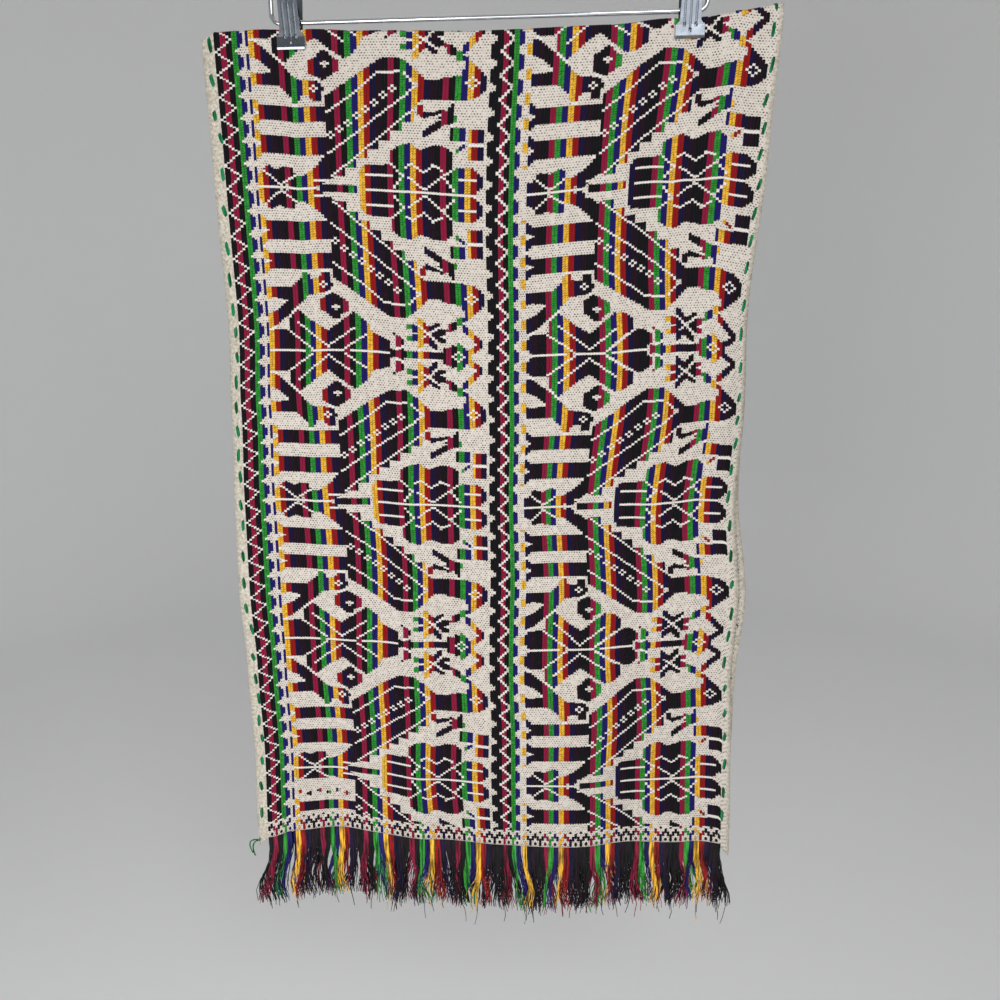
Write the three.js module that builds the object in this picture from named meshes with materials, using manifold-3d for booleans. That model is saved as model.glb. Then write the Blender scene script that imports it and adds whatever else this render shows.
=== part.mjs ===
// An embroidered cotton table runner, folded in half and clipped to a steel wire hanger.
// Millimetres, +Z up, front towards -Y. The origin is the inside top of the hanger's hook.
import * as THREE from 'three';
import { mergeVertices } from 'three/addons/utils/BufferGeometryUtils.js';
import Module from 'manifold-3d';

const wasm = await Module();
wasm.setup();

// ---- driving sizes ----------------------------------------------------------------------------
const GAP = 0.3;                    // clearance between pieces that meet

const WIRE = 3.8;                   // hanger wire, diameter
const BAR_Z = -196;                 // centre line of the bar that the clips slide on
const BAR_HALF = 172.5;             // centre line of each upright from the middle
const BAR_BEND = 7;                 // bend where the bar turns up
const UPRIGHT_TOP = BAR_Z + 40;     // corner between an upright and its shoulder
const SHOULDER_BEND = 14;
const NECK_Z = -101;                // corner between a shoulder and its end in the collar
const NECK_BEND = 6;
const NECK_HALF = 2.3;              // centre line of each wire end in the collar
const HOOK_INSIDE = 19;             // radius of the hook's inside
const COLLAR = { radius: 5.5, height: 14, top: -78, edge: 1.5 };

const CLOTH_X = 0.5;                // middle of the cloth, across
const CLOTH_THICK = 1.5;
const HALF_PINCHED = 1.05;          // half the distance between the two layers in a clip
const HALF_FREE = 2.4;              // the same where the layers hang free
const PINCH = { across: 12.5, fade: 30, foot: 30, drop: 55 };
const COLUMNS_BETWEEN_CLIPS = 15;
const COLUMNS_BESIDE_CLIPS = 4;
const CORNERS = { left: -220.5, right: 218.5 };   // where the fringe's line meets the two corners
const LEG_ROWS = 26;                // rows of faces down each layer, closest at the top
const LEG_SPREAD = 1.6;
const FOLD_STEPS = 6;               // faces round the fold
const BACK_PEEK = 7.5;              // how far the back layer shows past the front one
const BACK_PEEK_AT = { z: -478, reach: 190 };
const FRINGE = {
  inset: 1, thick: 3, spine: 7, teeth: 24, length: 66, uneven: 9,
  tooth: 0.78,                      // share of the pitch that a tuft's root takes
  taper: 0.5,                       // share of its width that a tuft loses on the way down
  splay: 13, wander: 2.5,           // how far the outer tufts lean out, and any tuft strays
  still: -760,                      // no more swing in the cloth below this height
};

const CLIP_X = [-157, 159.4];
const CLIP_THICK = 0.9;
const JAW = { width: 22.9, foot: -20.3, bend: -11, chamferTop: -8 };
const NECK = { low: 16.6, top: 14.4, height: 30, round: 3 };
const LEAN = 0.22;                  // how far each plate leans out for each millimetre up
const EAR = {
  radius: 3.7, hole: 2.5, thick: 0.8, front: 7.3, back: 6.1,
  low: -2, high: 5,                 // heights at which an ear joins its plate
  sunk: 0.2,                        // and how far it reaches into the plate
};
const SPRING = {
  outer: 3.4, inner: 2.4, half: 5, legRadius: 0.6, legTop: 13, legX: 3.5,
  legFoot: 2.9,                     // a leg starts at the middle of the coil's wall
};
const RIB = {
  radius: 0.75, thin: 0.5, pitch: 4.5, top: 8, foot: -10.5, middleFoot: -14.5, end: 0.85,
};
const ROUND = 12;                   // sides of the small round pieces
const ROD_SIDES = 8;
const WIRE_SIDES = 10;
const ARC_STEP = Math.PI / 12;      // turn of each straight stretch of a bent wire
const CUT = 60;                     // depth of a cutting slab, past any piece

// Line of the fold, as heights over the bar.
const FOLD_LINE = [
  { x: -230, z: -10.5 }, { x: -221, z: -5 }, { x: -180, z: -3.9 }, { x: -170, z: -4.2 },
  { x: -157, z: -5.5 }, { x: -143, z: -4.6 }, { x: -100, z: -7 }, { x: 0, z: -9.5 },
  { x: 100, z: -8 }, { x: 145, z: -4.6 }, { x: 159, z: -5.5 }, { x: 173, z: -4.2 },
  { x: 200, z: -0.5 }, { x: 230, z: 3.5 },
];
// The two selvedges down the cloth: distances from its middle, at heights over the bar.
const SELVEDGES = [
  { z: 0, left: -231, right: 230 }, { z: -100, left: -229.5, right: 226 },
  { z: -235, left: -227, right: 217 }, { z: -310, left: -230.5, right: 219 },
  { z: -390, left: -234, right: 215.5 }, { z: -480, left: -235, right: 223 },
  { z: -550, left: -232, right: 219 }, { z: -630, left: -231, right: 222 },
  { z: -735, left: -233.5, right: 225 },
];
// Foot of the cloth: the corners of both selvedges hang a little under the fringe's line.
const FOOT_LINE = [
  { x: -231, z: -741 }, { x: CORNERS.left, z: -732.5 }, { x: -193, z: -724 },
  { x: -150, z: -722.5 }, { x: -112, z: -722 }, { x: -60, z: -731.5 }, { x: 0, z: -734.5 },
  { x: 80, z: -730 }, { x: 145, z: -728.5 }, { x: CORNERS.right, z: -720 }, { x: 230, z: -731 },
];
// Soft folds: deep is how far the cloth swings away from the front, lean how far the fold
// moves across for each millimetre up.
const FOLDS = [
  { x: -150, half: 52, z: -760, reach: 470, deep: 6, lean: -0.03 },
  { x: -112, half: 42, z: -780, reach: 420, deep: -3, lean: -0.05 },
  { x: -30, half: 70, z: -800, reach: 380, deep: 5, lean: 0.02 },
  { x: 62, half: 55, z: -790, reach: 330, deep: -5, lean: 0.06 },
  { x: 140, half: 48, z: -770, reach: 420, deep: 6, lean: 0.04 },
  { x: 224, half: 34, z: -700, reach: 210, deep: -7, lean: 0 },
  { x: 236, half: 40, z: -300, reach: 220, deep: 10, lean: 0 },
  { x: -236, half: 30, z: -330, reach: 260, deep: 5, lean: 0 },
  { x: 60, half: 90, z: -260, reach: 220, deep: -4, lean: 0.05 },
  { x: -60, half: 80, z: -330, reach: 260, deep: 4, lean: -0.04 },
];

// ---- small helpers ----------------------------------------------------------------------------
const lerp = (a, b, t) => a + (b - a) * t;

function ease(t) {
  const c = Math.min(1, Math.max(0, t));
  return c * c * (3 - 2 * c);
}

const bump = (t) => (Math.abs(t) < 1 ? Math.cos((t * Math.PI) / 2) ** 2 : 0);

// Value of one column of a table at a place between its rows.
function between(rows, key, at, column) {
  const sorted = [...rows].sort((a, b) => a[key] - b[key]);
  const next = sorted.findIndex((row) => row[key] >= at);
  if (next === 0) return sorted[0][column];
  if (next === -1) return sorted[sorted.length - 1][column];
  const [a, b] = [sorted[next - 1], sorted[next]];
  return lerp(a[column], b[column], ease((at - a[key]) / (b[key] - a[key])));
}

function geometryFrom(points, faces) {
  const geometry = new THREE.BufferGeometry();
  geometry.setAttribute('position', new THREE.Float32BufferAttribute(points.flat(), 3));
  geometry.setIndex(faces.flat());
  return geometry;
}

function merged(geometry) {
  const bare = geometry.clone();
  bare.deleteAttribute('normal');
  bare.deleteAttribute('uv');
  return mergeVertices(bare, 1e-4);
}

function solidOf(geometry) {
  const clean = merged(geometry);
  const vertProperties = new Float32Array(clean.attributes.position.array);
  const triVerts = new Uint32Array(clean.index.array);
  return new wasm.Manifold(new wasm.Mesh({ numProp: 3, vertProperties, triVerts }));
}

function geometryOfSolid(solid) {
  const mesh = solid.getMesh();
  const geometry = new THREE.BufferGeometry();
  geometry.setAttribute('position', new THREE.BufferAttribute(mesh.vertProperties, 3));
  geometry.setIndex(new THREE.BufferAttribute(mesh.triVerts, 1));
  return geometry;
}

const united = (solids) => solids.reduce((all, one) => all.add(one));

function named(name, geometry, material) {
  const mesh = new THREE.Mesh(geometry, material);
  mesh.name = name;
  return mesh;
}

function shapeOf(points) {
  const shape = new THREE.Shape();
  points.forEach(([a, b], k) => (k === 0 ? shape.moveTo(a, b) : shape.lineTo(a, b)));
  shape.closePath();
  return shape;
}

// A front view outline (x, z) made a slab that is centred on y = 0.
function slab(shape, depth) {
  const geometry = new THREE.ExtrudeGeometry(shape, { depth, bevelEnabled: false, steps: 1 });
  return geometry.translate(0, 0, -depth / 2).rotateX(Math.PI / 2);
}

// A side view outline (y, z) drawn out along x, from one x to another.
function bar(shape, from, to) {
  const options = { depth: to - from, bevelEnabled: false, steps: 1, curveSegments: ROUND };
  const geometry = new THREE.ExtrudeGeometry(shape, options).translate(0, 0, from);
  const turn = new THREE.Matrix4().set(0, 0, 1, 0, 1, 0, 0, 0, 0, 1, 0, 0, 0, 0, 0, 1);
  return geometry.applyMatrix4(turn);
}

// A straight rod between two points, that may be thinner at its far end.
function rod(from, to, radius, farRadius = radius) {
  const along = to.clone().sub(from);
  const geometry = new THREE.CylinderGeometry(farRadius, radius, along.length(), ROD_SIDES);
  geometry.applyQuaternion(new THREE.Quaternion().setFromUnitVectors(
    new THREE.Vector3(0, 1, 0), along.clone().normalize()));
  return geometry.translate(...from.clone().add(to).multiplyScalar(0.5).toArray());
}

// ---- the cloth --------------------------------------------------------------------------------
// The clips hold the cloth flat: 1 in a clip, 0 well away from both.
function pinched(x, z) {
  const across = Math.max(...CLIP_X.map(
    (clip) => ease(1 - (Math.abs(x - clip) - PINCH.across) / PINCH.fade)));
  return across * ease(1 - (-z - PINCH.foot) / PINCH.drop);
}

const halfSpace = (x, z) => lerp(HALF_FREE, HALF_PINCHED, pinched(x, z));

function swing(x, z) {
  const soft = FOLDS.reduce((sum, fold) => {
    const across = (x - fold.x - fold.lean * (z - fold.z)) / fold.half;
    return sum + fold.deep * bump(across) * bump((z - fold.z) / fold.reach);
  }, 0);
  return soft * ease((-z - PINCH.foot) / PINCH.drop);
}

// Share of the width at which x, from the cloth's middle, lies along the fold.
const shareOf = (x) => (x - SELVEDGES[0].left) / (SELVEDGES[0].right - SELVEDGES[0].left);

// A place on the middle of one layer: share is 0 at the left selvedge and 1 at the right one,
// side -1 on the front layer and 1 on the back one, and z a height over the bar.
function layerPoint(share, z, side) {
  const right = between(SELVEDGES, 'z', z, 'right');
  const peek = side > 0 ? BACK_PEEK * bump((z - BACK_PEEK_AT.z) / BACK_PEEK_AT.reach) : 0;
  const x = CLOTH_X + lerp(between(SELVEDGES, 'z', z, 'left'), right + peek, share);
  return [x, side * halfSpace(x, z) + swing(x, z), z + BAR_Z];
}

// One column of the cloth, from the front layer's foot over the fold to the back one's.
function clothColumn(share) {
  const acrossTop = lerp(SELVEDGES[0].left, SELVEDGES[0].right, share);
  const crest = between(FOLD_LINE, 'x', acrossTop + CLOTH_X, 'z');
  const half = halfSpace(acrossTop + CLOTH_X, crest);
  const top = crest - half - CLOTH_THICK / 2;
  const foot = between(FOOT_LINE, 'x', acrossTop, 'z');
  const rows = [];
  for (let k = LEG_ROWS; k > 0; k -= 1) {
    rows.push(layerPoint(share, lerp(top, foot, (k / LEG_ROWS) ** LEG_SPREAD), -1));
  }
  const [foldX] = layerPoint(share, top, -1);
  for (let k = 0; k <= FOLD_STEPS; k += 1) {
    const angle = Math.PI * (1 - k / FOLD_STEPS);
    rows.push([foldX, half * Math.cos(angle), top + half * Math.sin(angle) + BAR_Z]);
  }
  for (let k = 1; k <= LEG_ROWS; k += 1) {
    rows.push(layerPoint(share, lerp(top, foot, (k / LEG_ROWS) ** LEG_SPREAD), 1));
  }
  return rows;
}

// Columns fall on both sides of each clip, so that no face crosses a jaw's edge.
function clothShares() {
  const stops = [0, shareOf(CORNERS.left)];
  CLIP_X.forEach((clip) => [-PINCH.across, 0, PINCH.across].forEach(
    (step) => stops.push(shareOf(clip + step - CLOTH_X))));
  stops.push(shareOf(CORNERS.right), 1);
  const beside = COLUMNS_BESIDE_CLIPS;
  const counts = [1, beside, 1, 1, COLUMNS_BETWEEN_CLIPS, 1, 1, beside, 1];
  const shares = [0];
  counts.forEach((count, span) => {
    for (let k = 1; k <= count; k += 1) shares.push(lerp(stops[span], stops[span + 1], k / count));
  });
  return shares;
}

// A sheet of points given a thickness: both faces and the rim all round.
function shell(grid, thickness) {
  const [columns, rows] = [grid.length, grid[0].length];
  const at = (i, j) => new THREE.Vector3(...grid[i][j]);
  const points = [];
  for (const side of [1, -1]) {
    for (let i = 0; i < columns; i += 1) {
      for (let j = 0; j < rows; j += 1) {
        const across = at(Math.min(i + 1, columns - 1), j).sub(at(Math.max(i - 1, 0), j));
        const along = at(i, Math.min(j + 1, rows - 1)).sub(at(i, Math.max(j - 1, 0)));
        const normal = across.cross(along).normalize();
        points.push(at(i, j).addScaledVector(normal, (side * thickness) / 2).toArray());
      }
    }
  }
  const front = (i, j) => i * rows + j;
  const back = (i, j) => columns * rows + i * rows + j;
  const faces = [];
  const quad = (a, b, c, d) => faces.push([a, b, c], [a, c, d]);
  for (let i = 0; i + 1 < columns; i += 1) {
    for (let j = 0; j + 1 < rows; j += 1) {
      quad(front(i, j), front(i + 1, j), front(i + 1, j + 1), front(i, j + 1));
      quad(back(i, j), back(i, j + 1), back(i + 1, j + 1), back(i + 1, j));
    }
    quad(front(i, 0), back(i, 0), back(i + 1, 0), front(i + 1, 0));
    quad(front(i + 1, rows - 1), back(i + 1, rows - 1), back(i, rows - 1), front(i, rows - 1));
  }
  for (let j = 0; j + 1 < rows; j += 1) {
    quad(front(0, j + 1), back(0, j + 1), back(0, j), front(0, j));
    quad(front(columns - 1, j), back(columns - 1, j), back(columns - 1, j + 1),
      front(columns - 1, j + 1));
  }
  return geometryFrom(points, faces);
}

// Flat quads in a plan, made a panel of one thickness: place puts a plan point at a depth. Edges
// that only one quad has get the rim.
function panel(plan, quads, thickness, place) {
  const points = [-1, 1].flatMap((way) => plan.map((point) => place(point, (way * thickness) / 2)));
  const [near, far] = [(k) => k, (k) => k + plan.length];
  const edges = new Set(quads.flatMap((q) => q.map((a, k) => `${a}-${q[(k + 1) % 4]}`)));
  const faces = [];
  quads.forEach((q) => {
    const [a, b, c, d] = q;
    faces.push([near(a), near(b), near(c)], [near(a), near(c), near(d)]);
    faces.push([far(a), far(c), far(b)], [far(a), far(d), far(c)]);
    q.forEach((from, k) => {
      const to = q[(k + 1) % 4];
      if (edges.has(`${to}-${from}`)) return;
      faces.push([near(from), far(from), far(to)], [near(from), far(to), near(to)]);
    });
  });
  return geometryFrom(points, faces);
}

const clothGeometry = () => shell(clothShares().map(clothColumn), CLOTH_THICK);

// ---- the fringe -------------------------------------------------------------------------------
// A comb of tapering tufts along the foot of one layer, between the two selvedge corners.
function fringeGeometry(side) {
  const first = CORNERS.left + FRINGE.inset;
  const pitch = (CORNERS.right - FRINGE.inset - first) / FRINGE.teeth;
  const plan = [];
  const quads = [];
  const spine = (x) => {
    const top = between(FOOT_LINE, 'x', x, 'z') - 3 * GAP;
    plan.push([x, top], [x, top - FRINGE.spine]);
    return plan.length - 2;
  };
  let [before, start] = [null, spine(first)];
  for (let k = 0; k < FRINGE.teeth; k += 1) {
    const middle = first + (k + 0.5) * pitch;
    const half = (FRINGE.tooth * pitch) / 2;
    const left = k === 0 ? start : spine(middle - half);
    const right = spine(middle + half);
    if (before !== null) quads.push([before, before + 1, left + 1, left]);
    quads.push([left, left + 1, right + 1, right]);
    const drop = FRINGE.length + FRINGE.uneven * Math.sin(2.3 * k + side);
    const wander = FRINGE.wander * Math.sin(1.7 * k + 2 * side);
    const lean = FRINGE.splay * (middle / BAR_HALF) ** 3 + wander;
    let above = [left + 1, right + 1];
    for (const share of [0.5, 1]) {
      const z = plan[left + 1][1] - drop * share;
      const spread = half * (1 - FRINGE.taper * share);
      plan.push([middle + lean * share - spread, z], [middle + lean * share + spread, z]);
      const below = [plan.length - 2, plan.length - 1];
      quads.push([above[0], below[0], below[1], above[1]]);
      above = below;
    }
    before = right;
  }
  const place = ([x, z], depth) => {
    const [across] = layerPoint(shareOf(x), z, side);
    const y = depth + side * HALF_FREE + swing(across, Math.max(z, FRINGE.still));
    return [across, y, z + BAR_Z];
  };
  return panel(plan, quads, FRINGE.thick, place);
}

// ---- the wire frame, collar and hook ----------------------------------------------------------
// A bent wire: straight stretches between stations, each station squared to its two neighbours.
class WirePath extends THREE.Curve {
  constructor(stations) {
    super();
    this.stations = stations;
  }

  getUtoTmapping(u) {
    return u;
  }

  getPoint(t, target = new THREE.Vector3()) {
    const last = this.stations.length - 1;
    const place = Math.min(1, Math.max(0, t)) * last;
    const k = Math.min(last - 1, Math.floor(place));
    return target.lerpVectors(this.stations[k], this.stations[k + 1], place - k);
  }

  getTangent(t, target = new THREE.Vector3()) {
    const last = this.stations.length - 1;
    const k = Math.round(t * last);
    const into = this.stations[Math.max(k, 1)].clone().sub(this.stations[Math.max(k, 1) - 1]);
    const next = Math.min(k, last - 1);
    const out = this.stations[next + 1].clone().sub(this.stations[next]);
    return target.copy(into.normalize().add(out.normalize())).normalize();
  }
}

// Stations in the plane y = 0 along corners {x, z, bend}, each corner turned on its bend radius.
function bentLine(corners) {
  const stations = [];
  corners.forEach((corner, k) => {
    const here = new THREE.Vector3(corner.x, 0, corner.z);
    if (!corner.bend) {
      stations.push(here);
      return;
    }
    const before = new THREE.Vector3(corners[k - 1].x, 0, corners[k - 1].z).sub(here).normalize();
    const after = new THREE.Vector3(corners[k + 1].x, 0, corners[k + 1].z).sub(here).normalize();
    const open = before.angleTo(after);
    const inward = before.clone().add(after).normalize();
    const centre = here.clone().addScaledVector(inward, corner.bend / Math.sin(open / 2));
    const start = here.clone().addScaledVector(before, corner.bend / Math.tan(open / 2)).sub(centre);
    const turn = Math.PI - open;
    const axis = new THREE.Vector3().crossVectors(before, after).negate().normalize();
    const steps = Math.ceil(turn / ARC_STEP);
    for (let step = 0; step <= steps; step += 1) {
      const spoke = start.clone().applyAxisAngle(axis, (turn * step) / steps);
      stations.push(spoke.add(centre));
    }
  });
  return stations;
}

function arcStations(centre, radius, from, to) {
  const steps = Math.ceil(Math.abs(to - from) / ARC_STEP);
  return Array.from({ length: steps + 1 }, (_, k) => {
    const angle = lerp(from, to, k / steps);
    return new THREE.Vector3(
      centre.x + radius * Math.cos(angle), 0, centre.z + radius * Math.sin(angle));
  });
}

function wireGeometry(stations) {
  const section = Array.from({ length: WIRE_SIDES }, (_, k) => {
    const angle = (2 * Math.PI * k) / WIRE_SIDES;
    return [(WIRE / 2) * Math.cos(angle), (WIRE / 2) * Math.sin(angle)];
  });
  return merged(new THREE.ExtrudeGeometry(shapeOf(section), {
    steps: stations.length - 1, bevelEnabled: false, extrudePath: new WirePath(stations) }));
}

function frameGeometry() {
  const end = COLLAR.top - COLLAR.height - GAP;
  const left = [
    { x: -NECK_HALF, z: end }, { x: -NECK_HALF, z: NECK_Z, bend: NECK_BEND },
    { x: -BAR_HALF, z: UPRIGHT_TOP, bend: SHOULDER_BEND }, { x: -BAR_HALF, z: BAR_Z, bend: BAR_BEND },
  ];
  const right = left.map((corner) => ({ ...corner, x: -corner.x })).reverse();
  return wireGeometry(bentLine([...left, ...right]));
}

function hookGeometry() {
  const radius = HOOK_INSIDE + WIRE / 2;
  const sway = Math.PI / 3;
  const centre = { x: 0, z: -HOOK_INSIDE };
  const join = { x: radius * Math.cos(sway), z: centre.z - radius * Math.sin(sway) };
  const stemTop = join.z - radius * Math.sin(sway);
  const stem = [new THREE.Vector3(0, 0, COLLAR.top + GAP)];
  const bow = arcStations({ x: radius, z: stemTop }, radius, Math.PI, Math.PI - sway);
  const crook = arcStations(centre, radius, -sway, Math.PI + sway / 3).slice(1);
  return wireGeometry([...stem, ...bow, ...crook]);
}

function collarGeometry() {
  const { radius, height, top, edge } = COLLAR;
  const profile = [
    [0, top - height], [radius - edge, top - height], [radius, top - height + edge],
    [radius, top - edge], [radius - edge, top], [0, top],
  ].map(([r, z]) => new THREE.Vector2(r, z));
  return merged(new THREE.LatheGeometry(profile, ROUND).rotateX(Math.PI / 2));
}

// ---- the clips --------------------------------------------------------------------------------
// Each plate is worked out as the front one (towards -Y), about a clip in the middle of the bar.
const plateY = (z) => -(HALF_PINCHED + CLOTH_THICK / 2 + GAP) - Math.max(0, z - JAW.bend) * LEAN;

function plateOutline() {
  const [jaw, low, top] = [JAW.width / 2, NECK.low / 2, NECK.top / 2];
  const right = [
    [jaw, JAW.foot], [jaw, JAW.bend], [low, JAW.chamferTop],
    [top, NECK.height - NECK.round], [top - NECK.round, NECK.height],
  ];
  return [...right, ...right.map(([x, z]) => [-x, z]).reverse()];
}

function ear(outer, sign) {
  const round = EAR.radius * 0.98;
  const reach = [[plateY(EAR.low) - EAR.sunk, EAR.low], [0, -round], [0, round],
    [plateY(EAR.high) - EAR.sunk, EAR.high]];
  const inner = outer - EAR.thick;
  const [from, to] = sign > 0 ? [inner, outer] : [-outer, -inner];
  const disc = new THREE.Shape().absarc(0, 0, EAR.radius, 0, 2 * Math.PI);
  const hole = new THREE.Shape().absarc(0, 0, EAR.hole, 0, 2 * Math.PI);
  const tab = solidOf(bar(shapeOf(reach), from, to)).add(solidOf(bar(disc, from, to)));
  return tab.subtract(solidOf(bar(hole, from - 1, to + 1)));
}

// A raised rib with round ends, laid on the plate between two heights.
function rib(x, top, foot) {
  const from = new THREE.Vector3(x, plateY(foot) - CLIP_THICK, foot);
  const to = new THREE.Vector3(x, plateY(top) - CLIP_THICK, top);
  const knob = new THREE.IcosahedronGeometry(RIB.end, 1).translate(...from.toArray());
  return solidOf(rod(from, to, RIB.radius, RIB.radius * RIB.thin)).add(solidOf(knob));
}

function plateSolid(earAt) {
  const side = [JAW.foot, JAW.bend, NECK.height + 1].map((z) => [plateY(z), z]);
  const outer = [...side].reverse().map(([y, z]) => [y - CLIP_THICK, z]);
  const reach = JAW.width / 2 + 1;
  const strip = solidOf(bar(shapeOf([...side, ...outer]), -reach, reach));
  const plate = strip.intersect(solidOf(slab(shapeOf(plateOutline()), CUT)));
  const lip = new THREE.Shape().absarc(
    plateY(JAW.foot) - CLIP_THICK, JAW.foot + CLIP_THICK, CLIP_THICK, 0, 2 * Math.PI);
  const ribs = [-1, 1].map((way) => rib(way * RIB.pitch, RIB.top, RIB.foot));
  return united([
    plate, solidOf(bar(lip, -JAW.width / 2, JAW.width / 2)), ...ribs,
    rib(0, RIB.top, JAW.bend), rib(0, JAW.bend, RIB.middleFoot),
    ear(earAt, 1), ear(earAt, -1),
  ]);
}

// The coil round the bar, with one leg against each plate over the bar.
function springSolid() {
  const ring = new THREE.Shape().absarc(0, 0, SPRING.outer, 0, 2 * Math.PI);
  ring.holes.push(new THREE.Path().absarc(0, 0, SPRING.inner, 0, 2 * Math.PI));
  const legs = [-1, 1].map((way) => {
    const foot = new THREE.Vector3(way * SPRING.legX, way * SPRING.legFoot, 0);
    const head = new THREE.Vector3(
      way * SPRING.legX, -way * (plateY(SPRING.legTop) + SPRING.legRadius + GAP), SPRING.legTop);
    return solidOf(rod(foot, head, SPRING.legRadius));
  });
  return united([solidOf(bar(ring, -SPRING.half, SPRING.half)), ...legs]);
}

function clip(name, x, steel, springSteel) {
  const group = new THREE.Group();
  group.position.set(x, 0, BAR_Z);
  group.add(named(`${name}_front`, geometryOfSolid(plateSolid(EAR.front)), steel()));
  const back = named(`${name}_back`, geometryOfSolid(plateSolid(EAR.back)), steel());
  back.rotation.z = Math.PI;
  group.add(back);
  group.add(named(`${name}_spring`, geometryOfSolid(springSolid()), springSteel()));
  return group;
}

// ---- the whole --------------------------------------------------------------------------------
const cotton = () => new THREE.MeshStandardMaterial({ color: 0xd3c8b1, roughness: 0.95 });
const yarn = () => new THREE.MeshStandardMaterial({ color: 0x5b1f33, roughness: 0.9 });
const chrome = () => new THREE.MeshStandardMaterial({ color: 0xc9ccd0, roughness: 0.16, metalness: 1 });
const nickel = () => new THREE.MeshStandardMaterial({ color: 0x9a9fa6, roughness: 0.26, metalness: 1 });
const darkSteel = () => new THREE.MeshStandardMaterial({ color: 0x5c6066, roughness: 0.4, metalness: 1 });

const runner = new THREE.Group();
runner.add(named('runner_cloth', clothGeometry(), cotton()));
runner.add(named('fringe_front', fringeGeometry(-1), yarn()));
runner.add(named('fringe_back', fringeGeometry(1), yarn()));

const hanger = new THREE.Group();
hanger.add(named('hanger_frame', frameGeometry(), chrome()));
hanger.add(named('hanger_collar', collarGeometry(), chrome()));
hanger.add(named('hanger_hook', hookGeometry(), chrome()));
hanger.add(clip('clip_left', CLIP_X[0], nickel, darkSteel));
hanger.add(clip('clip_right', CLIP_X[1], nickel, darkSteel));

const whole = new THREE.Group();
whole.add(runner, hanger);
export default whole;
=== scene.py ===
import math

import bmesh
import bpy
import numpy as np
from bpy.props import FloatProperty, FloatVectorProperty, IntProperty, PointerProperty
from mathutils import Matrix, Vector


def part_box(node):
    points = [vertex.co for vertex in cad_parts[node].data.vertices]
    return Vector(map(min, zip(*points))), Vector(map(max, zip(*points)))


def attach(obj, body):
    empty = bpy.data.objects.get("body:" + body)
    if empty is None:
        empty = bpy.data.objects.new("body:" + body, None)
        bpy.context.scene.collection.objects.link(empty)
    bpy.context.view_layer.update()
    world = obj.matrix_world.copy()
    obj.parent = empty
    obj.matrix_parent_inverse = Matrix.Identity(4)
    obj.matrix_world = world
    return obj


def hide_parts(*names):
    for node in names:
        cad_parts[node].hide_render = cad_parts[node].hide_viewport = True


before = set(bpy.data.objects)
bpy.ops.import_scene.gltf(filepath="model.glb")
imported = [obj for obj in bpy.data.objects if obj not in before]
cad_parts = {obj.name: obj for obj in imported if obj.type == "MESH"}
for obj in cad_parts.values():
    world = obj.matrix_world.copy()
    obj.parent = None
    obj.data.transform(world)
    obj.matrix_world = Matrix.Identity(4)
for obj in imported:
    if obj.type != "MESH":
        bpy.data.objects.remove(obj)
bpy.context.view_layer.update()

bl_info = {
    "name": "Woven runner on a clip hanger",
    "version": (1, 0, 0),
    "blender": (4, 5, 0),
    "location": "View3D > Sidebar > Runner",
    "description": "Builds a woven, fringed table runner and the wire hanger that carries it",
    "category": "Add Mesh",
}

MM = 0.001
BODY = "root"

# ---- sizes taken from the frame ---------------------------------------------------------------
WIRE_LOW, WIRE_HIGH = (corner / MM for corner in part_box("hanger_frame"))
WIRE = WIRE_HIGH.y - WIRE_LOW.y
WIRE_FLAT = WIRE / 2 * math.cos(math.pi / 10)      # the frame's wire has ten flat sides
BAR_Z = WIRE_LOW.z + WIRE_FLAT
BAR_HALF = WIRE_HIGH.x - WIRE_FLAT
CLIPS = ("clip_left", "clip_right")
CLIP_X = [sum(corner.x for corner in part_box(clip + "_front")) / 2 / MM for clip in CLIPS]
JAW_HALF = (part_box("clip_left_front")[1].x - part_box("clip_left_front")[0].x) / 2 / MM
COLLAR_LOW, COLLAR_HIGH = (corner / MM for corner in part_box("hanger_collar"))
SPRING_LOW, SPRING_HIGH = (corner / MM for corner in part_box("clip_left_spring"))

# ---- the hanger, as the frame has it ----------------------------------------------------------
GAP = 0.3
BAR_BEND, SHOULDER_BEND, NECK_BEND = 7, 14, 6
UPRIGHT_TOP = BAR_Z + 40
NECK_Z, NECK_HALF = -101, 2.3
HOOK_RADIUS = 19 + WIRE / 2             # centre line of the hook
HOOK_SWAY = math.pi / 3
CLIP_THICK = 0.9
JAW_FOOT, JAW_BEND, CHAMFER_TOP = -20.3, -11, -8
NECK_LOW, NECK_TOP, NECK_HEIGHT, NECK_ROUND = 8.3, 7.2, 30, 3   # half widths, height, corner
PLATE_LEAN = 0.22
EAR_RADIUS, EAR_HOLE, EAR_THICK = 3.7, 2.5, 0.8
EAR_FRONT, EAR_BACK = 7.3, 6.1
EAR_LOW, EAR_HIGH = -2, 5
SPRING_RADIUS, SPRING_WIRE, SPRING_TURNS, SPRING_LEG_Z = 2.9, 0.5, 8, 13
BEND_STEPS = 14
RIB_PITCH, RIB_TOP, RIB_FOOT, RIB_MIDDLE_FOOT = 4.5, 8, -10.5, -14.5

# ---- the cloth's shape, as the frame has it ---------------------------------------------------
CLOTH_X = 0.5
CLOTH_THICK = 1.5
HALF_PINCHED = 1.05
HALF_FREE = 2.4
PINCH_ACROSS, PINCH_FADE, PINCH_FOOT, PINCH_DROP = 12.5, 30, 30, 55
BACK_PEEK, PEEK_Z, PEEK_REACH = 7.5, -478, 190
CORNER_LEFT, CORNER_RIGHT = -220.5, 218.5
FRINGE_STILL = -760

# Line of the fold: x, z over the bar.
FOLD_LINE = (
    (-230, -10.5), (-221, -5), (-180, -3.9), (-170, -4.2), (-157, -5.5), (-143, -4.6), (-100, -7),
    (0, -9.5), (100, -8), (145, -4.6), (159, -5.5), (173, -4.2), (200, -0.5), (230, 3.5),
)
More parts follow.
